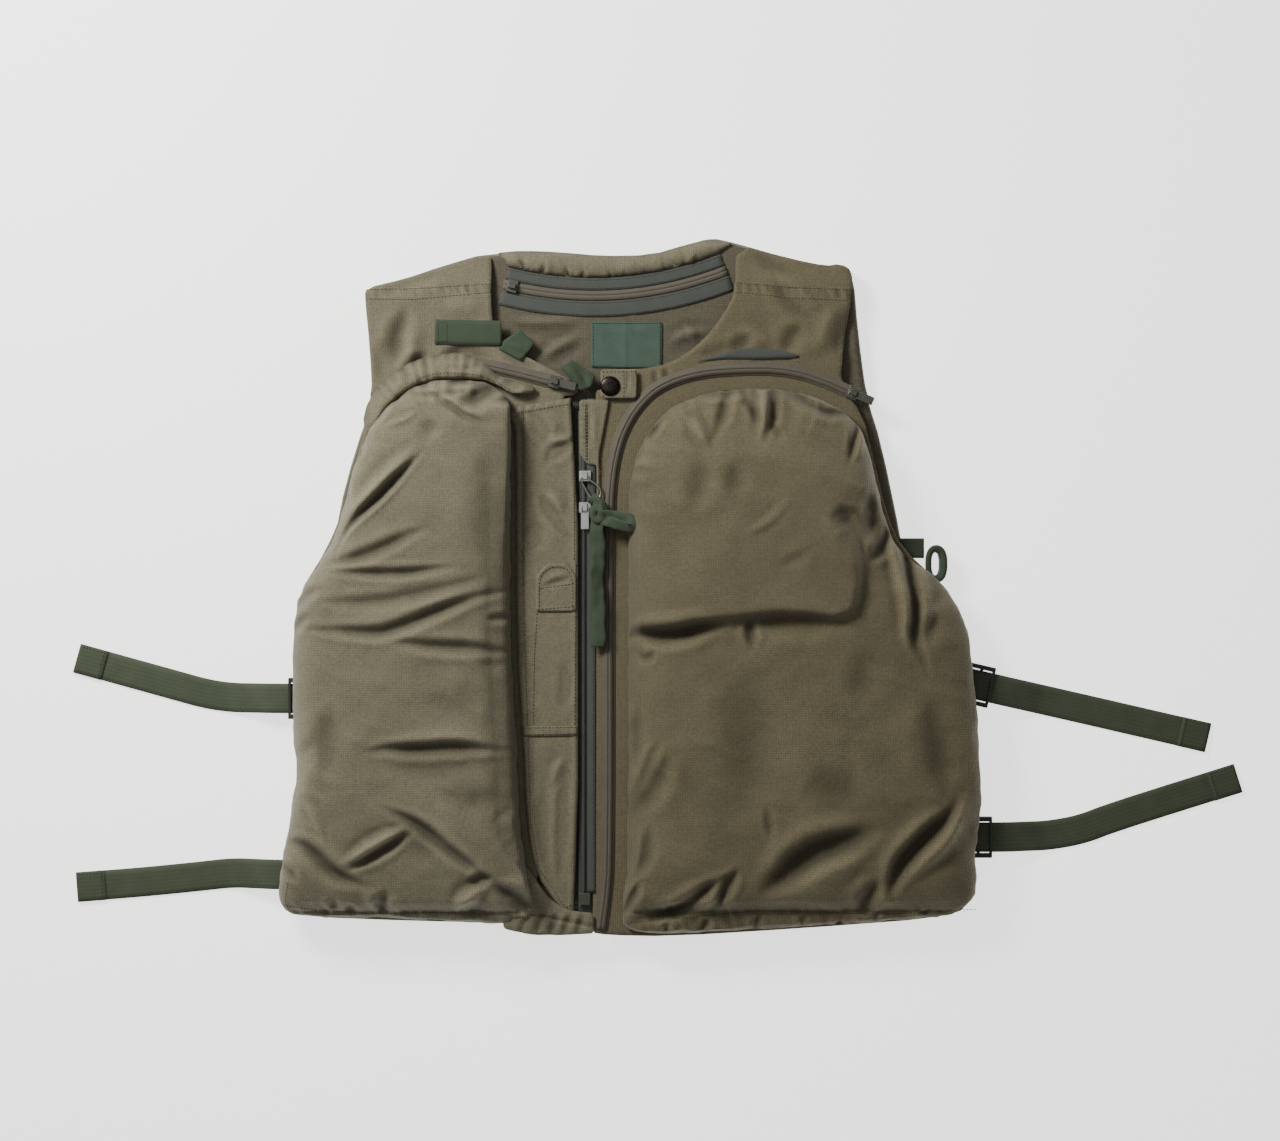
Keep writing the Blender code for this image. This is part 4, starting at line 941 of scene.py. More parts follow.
def apply_modifiers(obj):
    """Make the evaluated shape the piece's own mesh."""
    evaluated = obj.evaluated_get(bpy.context.evaluated_depsgraph_get())
    mesh = bpy.data.meshes.new_from_object(evaluated)
    obj.modifiers.clear()
    old = obj.data
    obj.data = mesh
    bpy.data.meshes.remove(old)
    mesh.name = obj.name


def puff(obj, most):
    """Let air pressure fill the cover, as stuffing does, and cap how far any point moves."""
    before = np.empty(len(obj.data.vertices) * 3)
    obj.data.vertices.foreach_get("co", before)
    cloth = obj.modifiers.new("stuffing", "CLOTH")
    cloth.settings.use_pressure = True
    cloth.settings.uniform_pressure_force = PUFF_PRESSURE
    cloth.settings.effector_weights.gravity = 0.0
    cloth.settings.quality = 4
    cloth.settings.tension_stiffness = 15
    cloth.settings.compression_stiffness = 15
    cloth.settings.bending_stiffness = 0.6
    cloth.point_cache.frame_start = 1
    cloth.point_cache.frame_end = PUFF_FRAMES
    scene = bpy.context.scene
    for number in range(1, PUFF_FRAMES + 1):
        scene.frame_set(number)
    apply_modifiers(obj)
    scene.frame_set(1)
    after = np.empty(len(obj.data.vertices) * 3)
    obj.data.vertices.foreach_get("co", after)
    move = (after - before).reshape(-1, 3)
    length = np.linalg.norm(move, axis=1, keepdims=True)
    move *= np.minimum(1, most * MM / np.maximum(length, 1e-9))
    obj.data.vertices.foreach_set("co", (before.reshape(-1, 3) + move).reshape(-1))


def build_pad(name, outline, centre, folds, hem, seed, cloth, voxel, seam, slab=None, wall=None):
    """A stuffed pocket: a pillow, puffed by simulation, then creased along its folds and gathered along
    its zip seam. wall is an edge beside which the padding keeps its height."""
    sizes = bpy.context.scene.vest_sizes
    obj = pillow(name, outline, centre, cloth)
    remesh = obj.modifiers.new("even_cloth", "REMESH")
    remesh.mode = "VOXEL"
    remesh.voxel_size = voxel * MM
    apply_modifiers(obj)
    puff(obj, PUFF_LIMIT)
    finer = obj.modifiers.new("finer", "SUBSURF")
    finer.levels = 1
    finer.render_levels = 1
    apply_modifiers(obj)

    mesh = obj.data
    count = len(mesh.vertices)
    place = np.empty(count * 3)
    mesh.vertices.foreach_get("co", place)
    place = place.reshape(-1, 3) / MM
    normal = np.empty(count * 3)
    mesh.vertices.foreach_get("normal", normal)
    normal = normal.reshape(-1, 3)
    upper = step_up(normal[:, 2], 0.05, 0.55)
    spots = place[:, :2]
    inward = edge_distance(spots, soften(outline, 1))
    crease = folded(spots, folds) * sizes.fold_depth
    crease += puckers(spots, hem) + gathered(spots, seam, 34, 8, seed + 17) * 5.0
    broad = ruffled(spots, 62, seed) * 2.2
    fine = ruffled(spots, 21, seed + 4) * 0.9 + ruffled(spots, 9, seed + 9) * 0.32
    drawn = np.stack([spots[:, 0] * 0.45 + spots[:, 1] * 0.9, spots[:, 1] * 0.35 - spots[:, 0] * 0.12], 1)
    fine += np.maximum(ruffled(drawn, 11, seed + 13) - 0.12, 0) * 1.6
    lift = crease + broad * step_up(inward, 0, 40) + fine
    if slab:
        inside = edge_distance(spots, soften(slab, 1))
        soft = step_up(spots[:, 1], 50, 96)
        share = step_up(inside + (6 + 12 * soft), 0, 2 * (6 + 12 * soft))
        lift += (11.0 * share + 6.0 * soft * (1 - share)) * step_up(inward, 2, 18) - 5.0 * step_up(inward, 2, 25)
    if wall:
        gap = np.interp(spots[:, 1], [y for _, y in wall], [x for x, _ in wall]) - spots[:, 0]
        near = step_up(spots[:, 1], -262, -235) * (1 - step_up(spots[:, 1], 146, 168))
        lift += 7.0 * np.exp(-((gap / 9) ** 2)) * near
        place[:, 0] += 0.7 * np.clip(gap, 0, 18) * (1 - step_up(gap, 6, 18)) * near
    # The hem: a flat sewn band along the bottom edge
    band = 1 - step_up(spots[:, 1], HEM_STITCH_Y - 2, HEM_STITCH_Y + 12)
    lift -= band * np.clip(place[:, 2] - 37, 0, 40) * 0.55
    lift -= 2.0 * np.exp(-(((spots[:, 1] - HEM_STITCH_Y) / 2.5) ** 2))
    slanted = np.stack([spots[:, 0] + spots[:, 1] * 0.5, spots[:, 1] * 0.2], 1)
    lift += (ruffled(slanted, 5.5, seed + 21) * 2.4
             * (1 - step_up(spots[:, 1], HEM_STITCH_Y - 1, HEM_STITCH_Y + 16)))
    place[:, 2] += lift * upper
    # Seam ripples round the side
    ripple = ruffled(np.stack([spots[:, 0] + spots[:, 1], place[:, 2]], 1), 13, seed + 2)
    side = 1 - upper
    push = ripple * 1.3 * side * (np.abs(normal[:, 2]) < 0.9)
    place[:, 0] += normal[:, 0] * push
    place[:, 1] += normal[:, 1] * push
    place[:, 2] = np.clip(place[:, 2], PAD_FLOOR, PAD_LIMIT)
    mesh.vertices.foreach_set("co", (place * MM).reshape(-1))
    # Painted shade in the grooves of the folds and on the low side of the small bumps; ridges and high bumps get the
    # paler colour of rubbed folds
    wear = np.clip(np.where(crease < 0, crease * 0.17, crease * 0.26) + fine * 0.14, -0.9, 0.85) * upper
    attribute = mesh.attributes.new("wear", "FLOAT", "POINT")
    attribute.data.foreach_set("value", wear.astype(np.float32))
    mesh.shade_smooth()
    mesh.update()
    return obj


def seam_tucks(line, count, seed):
    """Small slanting tucks between the two rows of a seam, unevenly spaced."""
    spots = evenly(line, math.dist(line[0], line[-1]) / count)
    tucks = []
    for k, (x, y) in enumerate(spots):
        shift = noise.noise(Vector((k * 1.7, seed, 0.5))) * 6
        tucks.append((0.9 + 0.5 * noise.noise(Vector((k * 2.3, seed, 7.5))), 2.0,
                      [(x + shift - 2.5, y + 6), (x + shift + 2.5, y - 6)]))
    return tucks


def front_level(folds, seam_drop):
    """The upper level of a front panel, which rolls down over the shoulder behind the seam."""

    def level(spots):
        rise = folded(spots, folds) * 1.0 + ruffled(spots, 34, 3.0) * 0.5 + ruffled(spots, 12, 5.0) * 0.18
        open_part = step_up(spots[:, 1], 150, 178)
        behind = step_up(spots[:, 1], 243, 284)
        return FRONT_TOP + rise * open_part - seam_drop * behind

    return level


def build_front(side, outline, folds, cloth):
    seam = [(-207, 245), (-110, 249)] if side == "left" else [(98, 250), (190, 244)]
    level = front_level(folds + seam_tucks(seam, 15, len(side)), SHOULDER_DROP)
    obj = outline_cloth(side + "_front_cloth", soften(outline, 1), 2.6, level, 1.6, cloth)
    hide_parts(side + "_front_panel", side + "_shoulder_yoke")
    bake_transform(obj)
    return obj


# ---------------------------------------------------------------- the sidebar's values

class VestSizes(bpy.types.PropertyGroup):
    """Sizes a maker would change"""
    fold_depth: FloatProperty(name="Fold depth", description="How deep the folds in the padding are, as a factor",
                              default=1.0, min=0.0, max=1.5)
    stitch: FloatProperty(name="Stitch length", description="Distance from one stitch to the next",
                          default=0.003, min=0.002, max=0.006, unit="LENGTH")
    coil_pitch: FloatProperty(name="Coil pitch", description="Distance from one turn of the zip coil to the next",
                              default=0.0015, min=0.001, max=0.003, unit="LENGTH")
    camera_height: FloatProperty(name="Camera height", description="Height of the camera above the floor",
                                 default=2.24, min=1.0, max=5.0, unit="LENGTH")


class VestColours(bpy.types.PropertyGroup):
    """Colours a maker would change"""
    cotton: FloatVectorProperty(name="Cotton", description="Outer cloth", subtype="COLOR", size=3,
                                default=linear("78735F"), min=0, max=1)
    # Painted shade: the right front's cloth is darker than the outer cloth where the light falls off towards the right,
    # and browner as well
    shaded_cotton: FloatVectorProperty(name="Shaded cotton", description="Outer cloth of the right front, which has "
                                     "faded browner", subtype="COLOR", size=3, default=linear("6D6650"), min=0,
                                     max=1)
    lining: FloatVectorProperty(name="Lining", description="Inner cloth", subtype="COLOR", size=3,
                                default=linear("625D4E"), min=0, max=1)
    webbing: FloatVectorProperty(name="Webbing", description="Straps and chest tab", subtype="COLOR", size=3,
                                 default=linear("4B5441"), min=0, max=1)
    ribbon: FloatVectorProperty(name="Ribbon", description="Ribbon on the zip pull", subtype="COLOR", size=3,
                                default=linear("3F4C3A"), min=0, max=1)
    zip_tape: FloatVectorProperty(name="Zip tape", description="Woven tape of the zips", subtype="COLOR", size=3,
                                  default=linear("4C514C"), min=0, max=1)
    coil_tape: FloatVectorProperty(name="Coil tape", description="Face of the reversed zips", subtype="COLOR",
                                   size=3, default=linear("605A4F"), min=0, max=1)
    label: FloatVectorProperty(name="Label", description="Woven label in the neck", subtype="COLOR", size=3,
                               default=linear("485C50"), min=0, max=1)


# ---------------------------------------------------------------- the operators

class VEST_OT_stage(bpy.types.Operator):
    """Add the pale floor, the soft lights and the camera straight above"""
    bl_idname = "vest.stage"
    bl_label = "Stage"

    def execute(self, context):
        mesh = bpy.data.meshes.new("studio_floor")
        mesh.from_pydata([(-20, -20, 0), (20, -20, 0), (20, 20, 0), (-20, 20, 0)], [], [(0, 1, 2, 3)])
        paper, tree, shader = new_material("matt_white_paper", 0.9)
        place = add_node(tree, "ShaderNodeTexCoord").outputs["Object"]
        tooth = add_node(tree, "ShaderNodeTexNoise", {"Scale": grain_scale(4)}, {"Vector": place})
        colour = blend_colours(tree, tooth.outputs["Fac"], linear("F4F4F3"), linear("FAFAFA"))
        tree.links.new(colour, shader.inputs["Base Color"])
        shader.inputs["Emission Color"].default_value = (1, 1, 1, 1)
        shader.inputs["Emission Strength"].default_value = FLOOR_GLOW
        mesh.materials.append(paper)
        floor = bpy.data.objects.new("studio_floor", mesh)
        floor.location.z = -0.0005
        context.collection.objects.link(floor)

        for name, at, size, power, colour in (
            ("key_light", (-0.72, 0.76, 0.9), 0.38, 21.5, "FFFDF8"),
            ("fill_light", (1.3, -0.7, 2.2), 2.0, 1.6, "FFEEDC"),
            ("top_light", (-0.4, 0.35, 2.4), 1.4, 6.0, "FFFFFF"),
        ):
            light = bpy.data.lights.new(name, "AREA")
            light.size = size
            light.energy = power
            light.color = linear(colour)
            lamp = bpy.data.objects.new(name, light)
            lamp.location = at
            lamp.rotation_euler = (Vector((0, 0, 0)) - Vector(at)).to_track_quat("-Z", "Y").to_euler()
            context.collection.objects.link(lamp)
        world = bpy.data.worlds.new("studio_air")
        world.use_nodes = True
        world.node_tree.nodes["Background"].inputs["Color"].default_value = (*linear("FFFFFF"), 1)
        world.node_tree.nodes["Background"].inputs["Strength"].default_value = AIR_LIGHT
        context.scene.world = world

        lens = bpy.data.cameras.new("camera")
        lens.sensor_width = 36.0
        lens.lens = 75.5
        camera = bpy.data.objects.new("camera", lens)
        camera.location = (0.0164, 0.016, context.scene.vest_sizes.camera_height)
        context.collection.objects.link(camera)
        context.scene.camera = camera
        return {"FINISHED"}


class VEST_OT_back(bpy.types.Operator):
    """Build the padded back, its lining and the neck label"""
    bl_idname = "vest.back"
    bl_label = "Back and lining"

    def execute(self, context):
        outline = soften(BACK_OUTLINE, 1)

        def top(spots):
            return 10.8 - 0.6 + ruffled(spots, 40, 1.0) * 0.3

        def under(spots):
            return 0.2 + np.maximum(ruffled(spots, 50, 2.0), 0) * 0.8

        back = outline_cloth("back_padding", outline, 6.0, top, 0, "olive_cotton_cloth", edge=7.0, under=under)
        settle(back, "root", "cotton", "back_shell", "back_foam")

        edge = soften([(x * 0.992 + 0.1, y * 0.992) for x, y in BACK_OUTLINE], 1)

        def lining_top(spots):
            rise = folded(spots, LINING_FOLDS) + ruffled(spots, 24, 7.0) * 0.35
            opening = step_up(spots[:, 1], 150, 180) * (1 - step_up(spots[:, 1], 224, 232))
            label = step_up(-edge_distance(spots, LABEL), 0, 6)
            return LINING_TOP - 0.3 + np.clip(rise, -0.8, 5) * opening * label

        lining = outline_cloth("back_lining_cloth", edge, 3.6, lining_top, 1.1, "lining_cotton_cloth")
        settle(lining, "root", "cotton_lining", "back_lining")

        # The label: blank, folded lightly down its middle
        def label_top(spots):
            fold = np.exp(-(((spots[:, 0] - 4.0) / 2.2) ** 2)) * 0.5
            curl = folded(spots, [(0.9, 4, [(-18, 214), (-6, 206), (2, 196)]),
                                  (0.8, 3, [(8, 222), (14, 210), (30, 204)]),
                                  (0.7, 3, [(-10, 223), (8, 220), (30, 222)])])
            return 13.6 + fold + curl

        label = outline_cloth("neck_label", nipped([(-24.6, 184.4), (34.6, 184), (35, 222), (-24.2, 223)], 1.2),
                              1.6,
                              label_top, 0.55, "woven_label_cloth", edge=0.5)
        settle(label, "root", "label_cloth", "size_label")
        border = [(-22.6, 186), (-22.6, 221), (33, 221), (33, 186)]
        stitch_rows("neck_label_stitches", [[(-22.6, 186), (-22.6, 221)], border[1:3], border[2:]], "root", [label],
                    "label_sewing_thread", 2.6, slot="label_cloth")
        return {"FINISHED"}


class VEST_OT_fronts(bpy.types.Operator):
    """Build the two front panels, which bend over the shoulder seams"""
    bl_idname = "vest.fronts"
    bl_label = "Front panels"

    def execute(self, context):
        left = build_front("left", LEFT_FRONT, LEFT_FRONT_FOLDS, "olive_cotton_cloth")
        right = build_front("right", RIGHT_FRONT, RIGHT_FRONT_FOLDS, "worn_cotton_cloth")
        # Two rows of stitches along each shoulder seam; they ride on the front, just ahead of the seam
        for side, cloth, rows in (
            ("left", left, [[(-209, 240.5), (-170, 240), (-108, 246)]]),
            ("right", right, [[(97, 246), (140, 241.5), (190, 239)]]),
        ):
            stitch_rows(side + "_shoulder_stitches", rows, side + "_front", [cloth])
        for side, cloth, rows in (
            ("left", left, [[(-209, 248.2), (-170, 249), (-108, 253)]]),
            ("right", right, [[(97, 254), (140, 250), (190, 248)]]),
        ):
            stitch_rows(side + "_yoke_stitches", rows, "root", [cloth])
        return {"FINISHED"}


class VEST_OT_collar(bpy.types.Operator):
    """Build the gathered collar roll and its zip"""
    bl_idname = "vest.collar"
    bl_label = "Collar"

    def execute(self, context):
        inner = [p[:2] for p in arc_line(285.0)]
        outline = inner + [tuple(p) for p in soften(COLLAR_BAND_TOP, 1, closed=False)]

        def top(spots):
            inside = edge_distance(spots, outline)
            angle = np.degrees(np.arctan2(spots[:, 0] - COLLAR_CENTRE[0], COLLAR_CENTRE[1] - spots[:, 1]))
            gathers = ruffled(np.stack([angle * 2.4, np.zeros(len(angle))], 1), 2.0, 3.0) * 0.9
            radius = np.hypot(spots[:, 0] - COLLAR_CENTRE[0], spots[:, 1] - COLLAR_CENTRE[1])
            near = step_up(radius, 262, 284)
            gathers = gathers + folded(spots, [(1.3, 1.8, [(x, y), (x + d, y - 14)]) for x, y, d in (
                (-84, 277, 6), (-62, 272, -5), (-46, 268, 4), (-30, 266, -3), (-10, 265, 3), (3, 265, 4),
                (22, 266, -3),
                (44, 272, 5), (64, 279, -4))])
            return (14.4 + 5.0 * np.sqrt(np.clip(inside / 11, 0, 1)) + gathers * near * 2.4
                    + ruffled(spots, 18, 6.0) * 1.4)

        band = outline_cloth("collar_roll", outline, 2.6, top, 0, "olive_cotton_cloth", edge=2.0,
                             under=lambda spots: np.full(len(spots), 13.0))
        settle(band, "root", "cotton", "collar_band")

        tape_lift = 13.35
        pieces = []
        for label, radius, width in (("upper", 290.5, 10.2), ("lower", 310.9, 13.0)):
            tape = swept("collar_" + label + "_tape", arc_line(radius, tape_lift), web_section(width, 0.8, 0.25),
                         "zip_tape_weave")
            settle(tape, "root", "zip_tape", "collar_zip_" + label + "_tape")
            pieces.append(tape)
            rows = [[p[:2] for p in arc_line(radius + off)] for off in (-width / 2 + 1.6, width / 2 - 1.6)]
            stitch_rows("collar_" + label + "_tape_stitches", rows, "root", [tape], "olive_sewing_thread", 2.6)
        # The closed coil, sewn face down: two smooth cords with the seam between them
        section = [(-4.0, -1.1), (4.0, -1.1), (4.0, 0.1), (3.2, 0.45), (2.2, 1.0), (1.0, 1.15), (0.3, 0.75),
                   (0, 0.3),
                   (-0.3, 0.75), (-1.0, 1.15), (-2.2, 1.0), (-3.2, 0.45), (-4.0, 0.1)]
        chain = swept("collar_chain", arc_line(300.0, 14.05), section, "reversed_coil_tape")
        settle(chain, "root", "zip_coil", "collar_zip_chain")
        hard_piece("collar_slider", "collar_zip_slider", "enamelled_zinc", "slider_metal", "collar_slider")
        return {"FINISHED"}


class VEST_OT_pads(bpy.types.Operator):
    """Build the two stuffed front pockets with their folds and edge stitching"""
    bl_idname = "vest.pads"
    bl_label = "Stuffed pockets"

    def execute(self, context):
        left = build_pad("left_pad", LEFT_PAD, LEFT_PAD_CENTRE, LEFT_PAD_FOLDS, LEFT_HEM_PUCKERS, 11.3,
                         "olive_cotton_cloth", 3.7, LEFT_POCKET_ZIP[:-1], wall=LEFT_PAD_WALL)
        settle(left, "left_front", "cotton", "left_pad_cover", "left_upper_foam", "left_lower_foam")
        right = build_pad("right_pad", RIGHT_PAD, RIGHT_PAD_CENTRE, RIGHT_PAD_FOLDS, RIGHT_HEM_PUCKERS, 23.7,
                          "worn_cotton_cloth", 4.1, RIGHT_POCKET_ZIP[3:], RIGHT_SLAB)
        settle(right, "right_front", "cotton", "right_pad_cover", "right_upper_foam", "right_lower_foam")
        stitch_rows("left_pad_stitches", [
            [(-281, -258), (-249, -262), (-204, -266), (-149, -264.5), (-94, -266), (-72, -270)],
            [(-270, -270), (-274, -255), (-271, -240)],
        ], "left_front", [left])
        stitch_rows("right_pad_stitches", [
            [(0, -274), (46, -269), (117, -263), (214, -266.5), (292, -263)],
            [(5.5, 104), (4.5, 96), (4.5, 29), (3.4, -30)],
            [(3.6, -44), (5.6, -134), (3.4, -186), (1.5, -249)],
            [(8, 112), (20, 138), (38, 154), (60, 163), (86, 168)],
            [(126, 166), (144, 162), (158, 155)],
        ], "right_front", [right])
        return {"FINISHED"}


class VEST_OT_pocket_zips(bpy.types.Operator):
    """Build the curved zips round the tops of the pockets"""
    bl_idname = "vest.pocket_zips"
    bl_label = "Pocket zips"

    def execute(self, context):
        section = [(-3.5, -1.0), (3.5, -1.0), (3.5, 0.0), (2.6, 0.3), (1.7, 0.95), (0.9, 1.05), (0.25, 0.7),
                   (0, 0.25),
                   (-0.25, 0.7), (-0.9, 1.05), (-1.7, 0.95), (-2.6, 0.3), (-3.5, 0.0)]
        for side, path in (("left", LEFT_POCKET_ZIP), ("right", RIGHT_POCKET_ZIP)):
            line = evenly(soften(path, 2, closed=False), 3.0)
            tape = swept(side + "_pocket_tape", [(x, y, 22.2) for x, y in line], web_section(11.0, 0.7),
                         "reversed_coil_tape")
            settle(tape, side + "_front", "zip_tape", side + "_pocket_zip_tape")
            chain = swept(side + "_pocket_chain", [(x, y, 23.9) for x, y in line], section, "reversed_coil_tape")
            settle(chain, side + "_front", "zip_coil", side + "_pocket_zip_chain")
            # Turns of the coil that show in the seam of the closed zip
            beads_along(side + "_pocket_coil", [[(x, y, 24.35) for x, y in line]],
                        context.scene.vest_sizes.coil_pitch / MM, (0.9, 1.5, 0.9), "nylon_zip_coil",
                        side + "_front", "zip_coil")
            hard_piece(side + "_pocket_slider_body", side + "_pocket_zip_slider", "enamelled_zinc", "slider_metal",
                       side + "_pocket_slider")
            hard_piece(side + "_pocket_pull_tag", side + "_pocket_zip_pull", "enamelled_zinc", "slider_metal",
                       side + "_pocket_pull")

        # The cloth above the left-hand pocket's padding, which folds over the zip and runs on to the padding
        rim = [(-213, 136), (-208, 157), (-191, 177), (-168, 190.5), (-142, 195.5), (-124, 194.5), (-109, 185.5),
               (-101, 176), (-84, 171.5), (-70, 168)]
        outline = soften(rim + [(-70, 163), (-84, 161), (-92, 163), (-100, 169), (-116, 174), (-160, 173.5),
                                (-190, 154), (-205, 128)], 1)
        padding = surface_of(bpy.data.objects["left_pad"])

        def binding_top(spots):
            inside, _ = line_distance(spots, rim)
            gathers = gathered(spots, LEFT_POCKET_ZIP, 40, 6, 2.0) * 3.0 + folded(spots, [
                (1.2, 2.0, [(-150, 184), (-132, 183), (-112, 180)]),
                (-1.2, 2.0, [(-132, 180), (-112, 181), (-100, 172)])])
            roll = 26.6 + 9.0 * step_up(inside, -3, 15) + gathers + ruffled(spots, 10, 5.0) * 0.5
            below = np.array([padding(x, y, 22.0) for x, y in spots])
            return np.maximum(roll, below + 0.6)

        binding = outline_cloth("left_pocket_binding", outline, 2.0, binding_top, 0, "olive_cotton_cloth", edge=1.2,
                                under=lambda spots: np.full(len(spots), 25.4))
        settle(binding, "left_front", "cotton")
        rows = [soften([(-204, 136), (-186, 159), (-162, 176.5), (-140, 178.5), (-116, 177), (-102, 171.5),
                        (-92, 165.5)], 2,
                       closed=False)]
        stitch_rows("left_pocket_binding_stitches", rows, "left_front", [binding])

        # The woven facing that shows above the right-hand pocket's zip
        facing = outline_cloth("right_pocket_facing", soften([(58, 187), (80, 194), (102, 200.5), (134, 198),
                                                             (152, 192.5), (134, 191), (100, 190.8),
                                                             (76, 190.6)], 1),
                               2.4, lambda spots: 23.6 + folded(spots,
                                                                [(0.7, 3, [(80, 191), (100, 196), (130, 195)])]),
                               0.7, "zip_tape_weave", edge=0.6)
        settle(facing, "right_front", "zip_tape")
        return {"FINISHED"}


class VEST_OT_placket(bpy.types.Operator):
    """Build the placket strip with its pen pocket, cross band and stitching"""
    bl_idname = "vest.placket"
    bl_label = "Placket"

    def execute(self, context):
        outline = soften([(-34.5, -272), (-34.5, 159.6), (-60, 156), (-92, 150), (-92, 140), (-86.4, 134),
                          (-86.4, -40),
                          (-81, -120), (-78, -190), (-70, -234), (-50, -262)], 1)
        tucks = [(0.9, 1.3, [(x, y + 1), (x - 0.6, y - 7)]) for x, y in
                 [(-86, 151.5), (-79, 153), (-71, 154), (-63, 156), (-54, 157.5), (-46, 159)]]

        def top(spots):
            fade = step_up(edge_distance(spots, outline), -1, 4)
            rim = 1.0 * np.exp(-(((edge_distance(spots, outline) - 3.2) / 2.4) ** 2))
            seam = -0.9 * np.exp(-(((spots[:, 0] + 80) / 1.4) ** 2)) * step_up(spots[:, 1], -60, -20)
            hidden = edge_distance(spots, PEN_POCKET)
            under = 1 - step_up(hidden, -4, 2)
            band = 1 - step_up(edge_distance(spots, PLACKET_BAND), -3, 1)
            rise = (folded(spots, PLACKET_FOLDS) * fade + ruffled(spots, 15, 2.0) * 0.5
                    + ruffled(spots, 6, 8.0) * 0.2)
            hem = folded(spots, tucks)
            return 23.3 + (rise * under * band).clip(-0.9, 6) + rim + seam + hem

        placket = outline_cloth("placket_cloth", outline, 2.2, top, 1.2, "olive_cotton_cloth", edge=1.0,
                                under=lambda spots: np.full(len(spots), 21.9))
        settle(placket, "left_front", "cotton", "placket_panel")

        def pen_top(spots):
            inside = edge_distance(spots, PEN_POCKET)
            rim = 0.8 * np.exp(-(((inside - 2.0) / 1.6) ** 2))
            sag = folded(spots, [(1.2, 2.6, [(-66, 2), (-52, 7), (-40, 10)]),
                                 (-0.8, 3.0, [(-64, 6), (-52, 12), (-40, 13)])])
            return 24.9 + rim + sag

        pen = outline_cloth("pen_pocket_cloth", nipped(PEN_POCKET, 1.5), 1.6, pen_top, 1.1,
                            "olive_cotton_cloth", edge=0.8)
        settle(pen, "left_front", "cotton", "pen_pocket")
        cross = outline_cloth("placket_cross_band",
                              nipped([(-80.5, -121), (-80.5, -112.5), (-35.5, -112), (-35.5, -120.5)], 1.0),
                              1.8, lambda spots: 25.0 + folded(spots,
                                                               [(0.6, 1.2, [(x, -110), (x - 1, -123)]) for x in
                                                                      (-74, -62, -50, -41)]) * 0.7,
                              1.1, "olive_cotton_cloth", edge=0.8)
        settle(cross, "left_front", "cotton", "placket_band")
        over = [placket, pen, cross]
        stitch_rows("placket_stitches", [
            [(-80, 148), (-80, 20), (-78.6, -40), (-76.6, -112)],
            [(-38, 152), (-38, 26)],
            [(-84, 146), (-60, 150.5), (-38, 154)],
            [(-76, -124), (-74, -190), (-67, -230), (-49, -257), (-40, -266)],
        ], "left_front", over)
        stitch_rows("placket_green_stitches", [
            soften([(-67, -16), (-67, 11), (-58, 19), (-46, 19), (-39, 11), (-39, -16)], 1, closed=False),
            [(-67, -16), (-39, -14)], [(-66, 1), (-39, 5)],
            [(-79, -114), (-37, -113.4)], [(-79, -119.6), (-37, -118.8)],
            [(-36.4, 20), (-37.4, -110)], [(-68.5, -20), (-71, -60), (-71.5, -110)],
            [(-44, -262), (-36, -258)], [(-43, -266), (-36, -262)],
        ], "left_front", over, "green_sewing_thread")
        return {"FINISHED"}


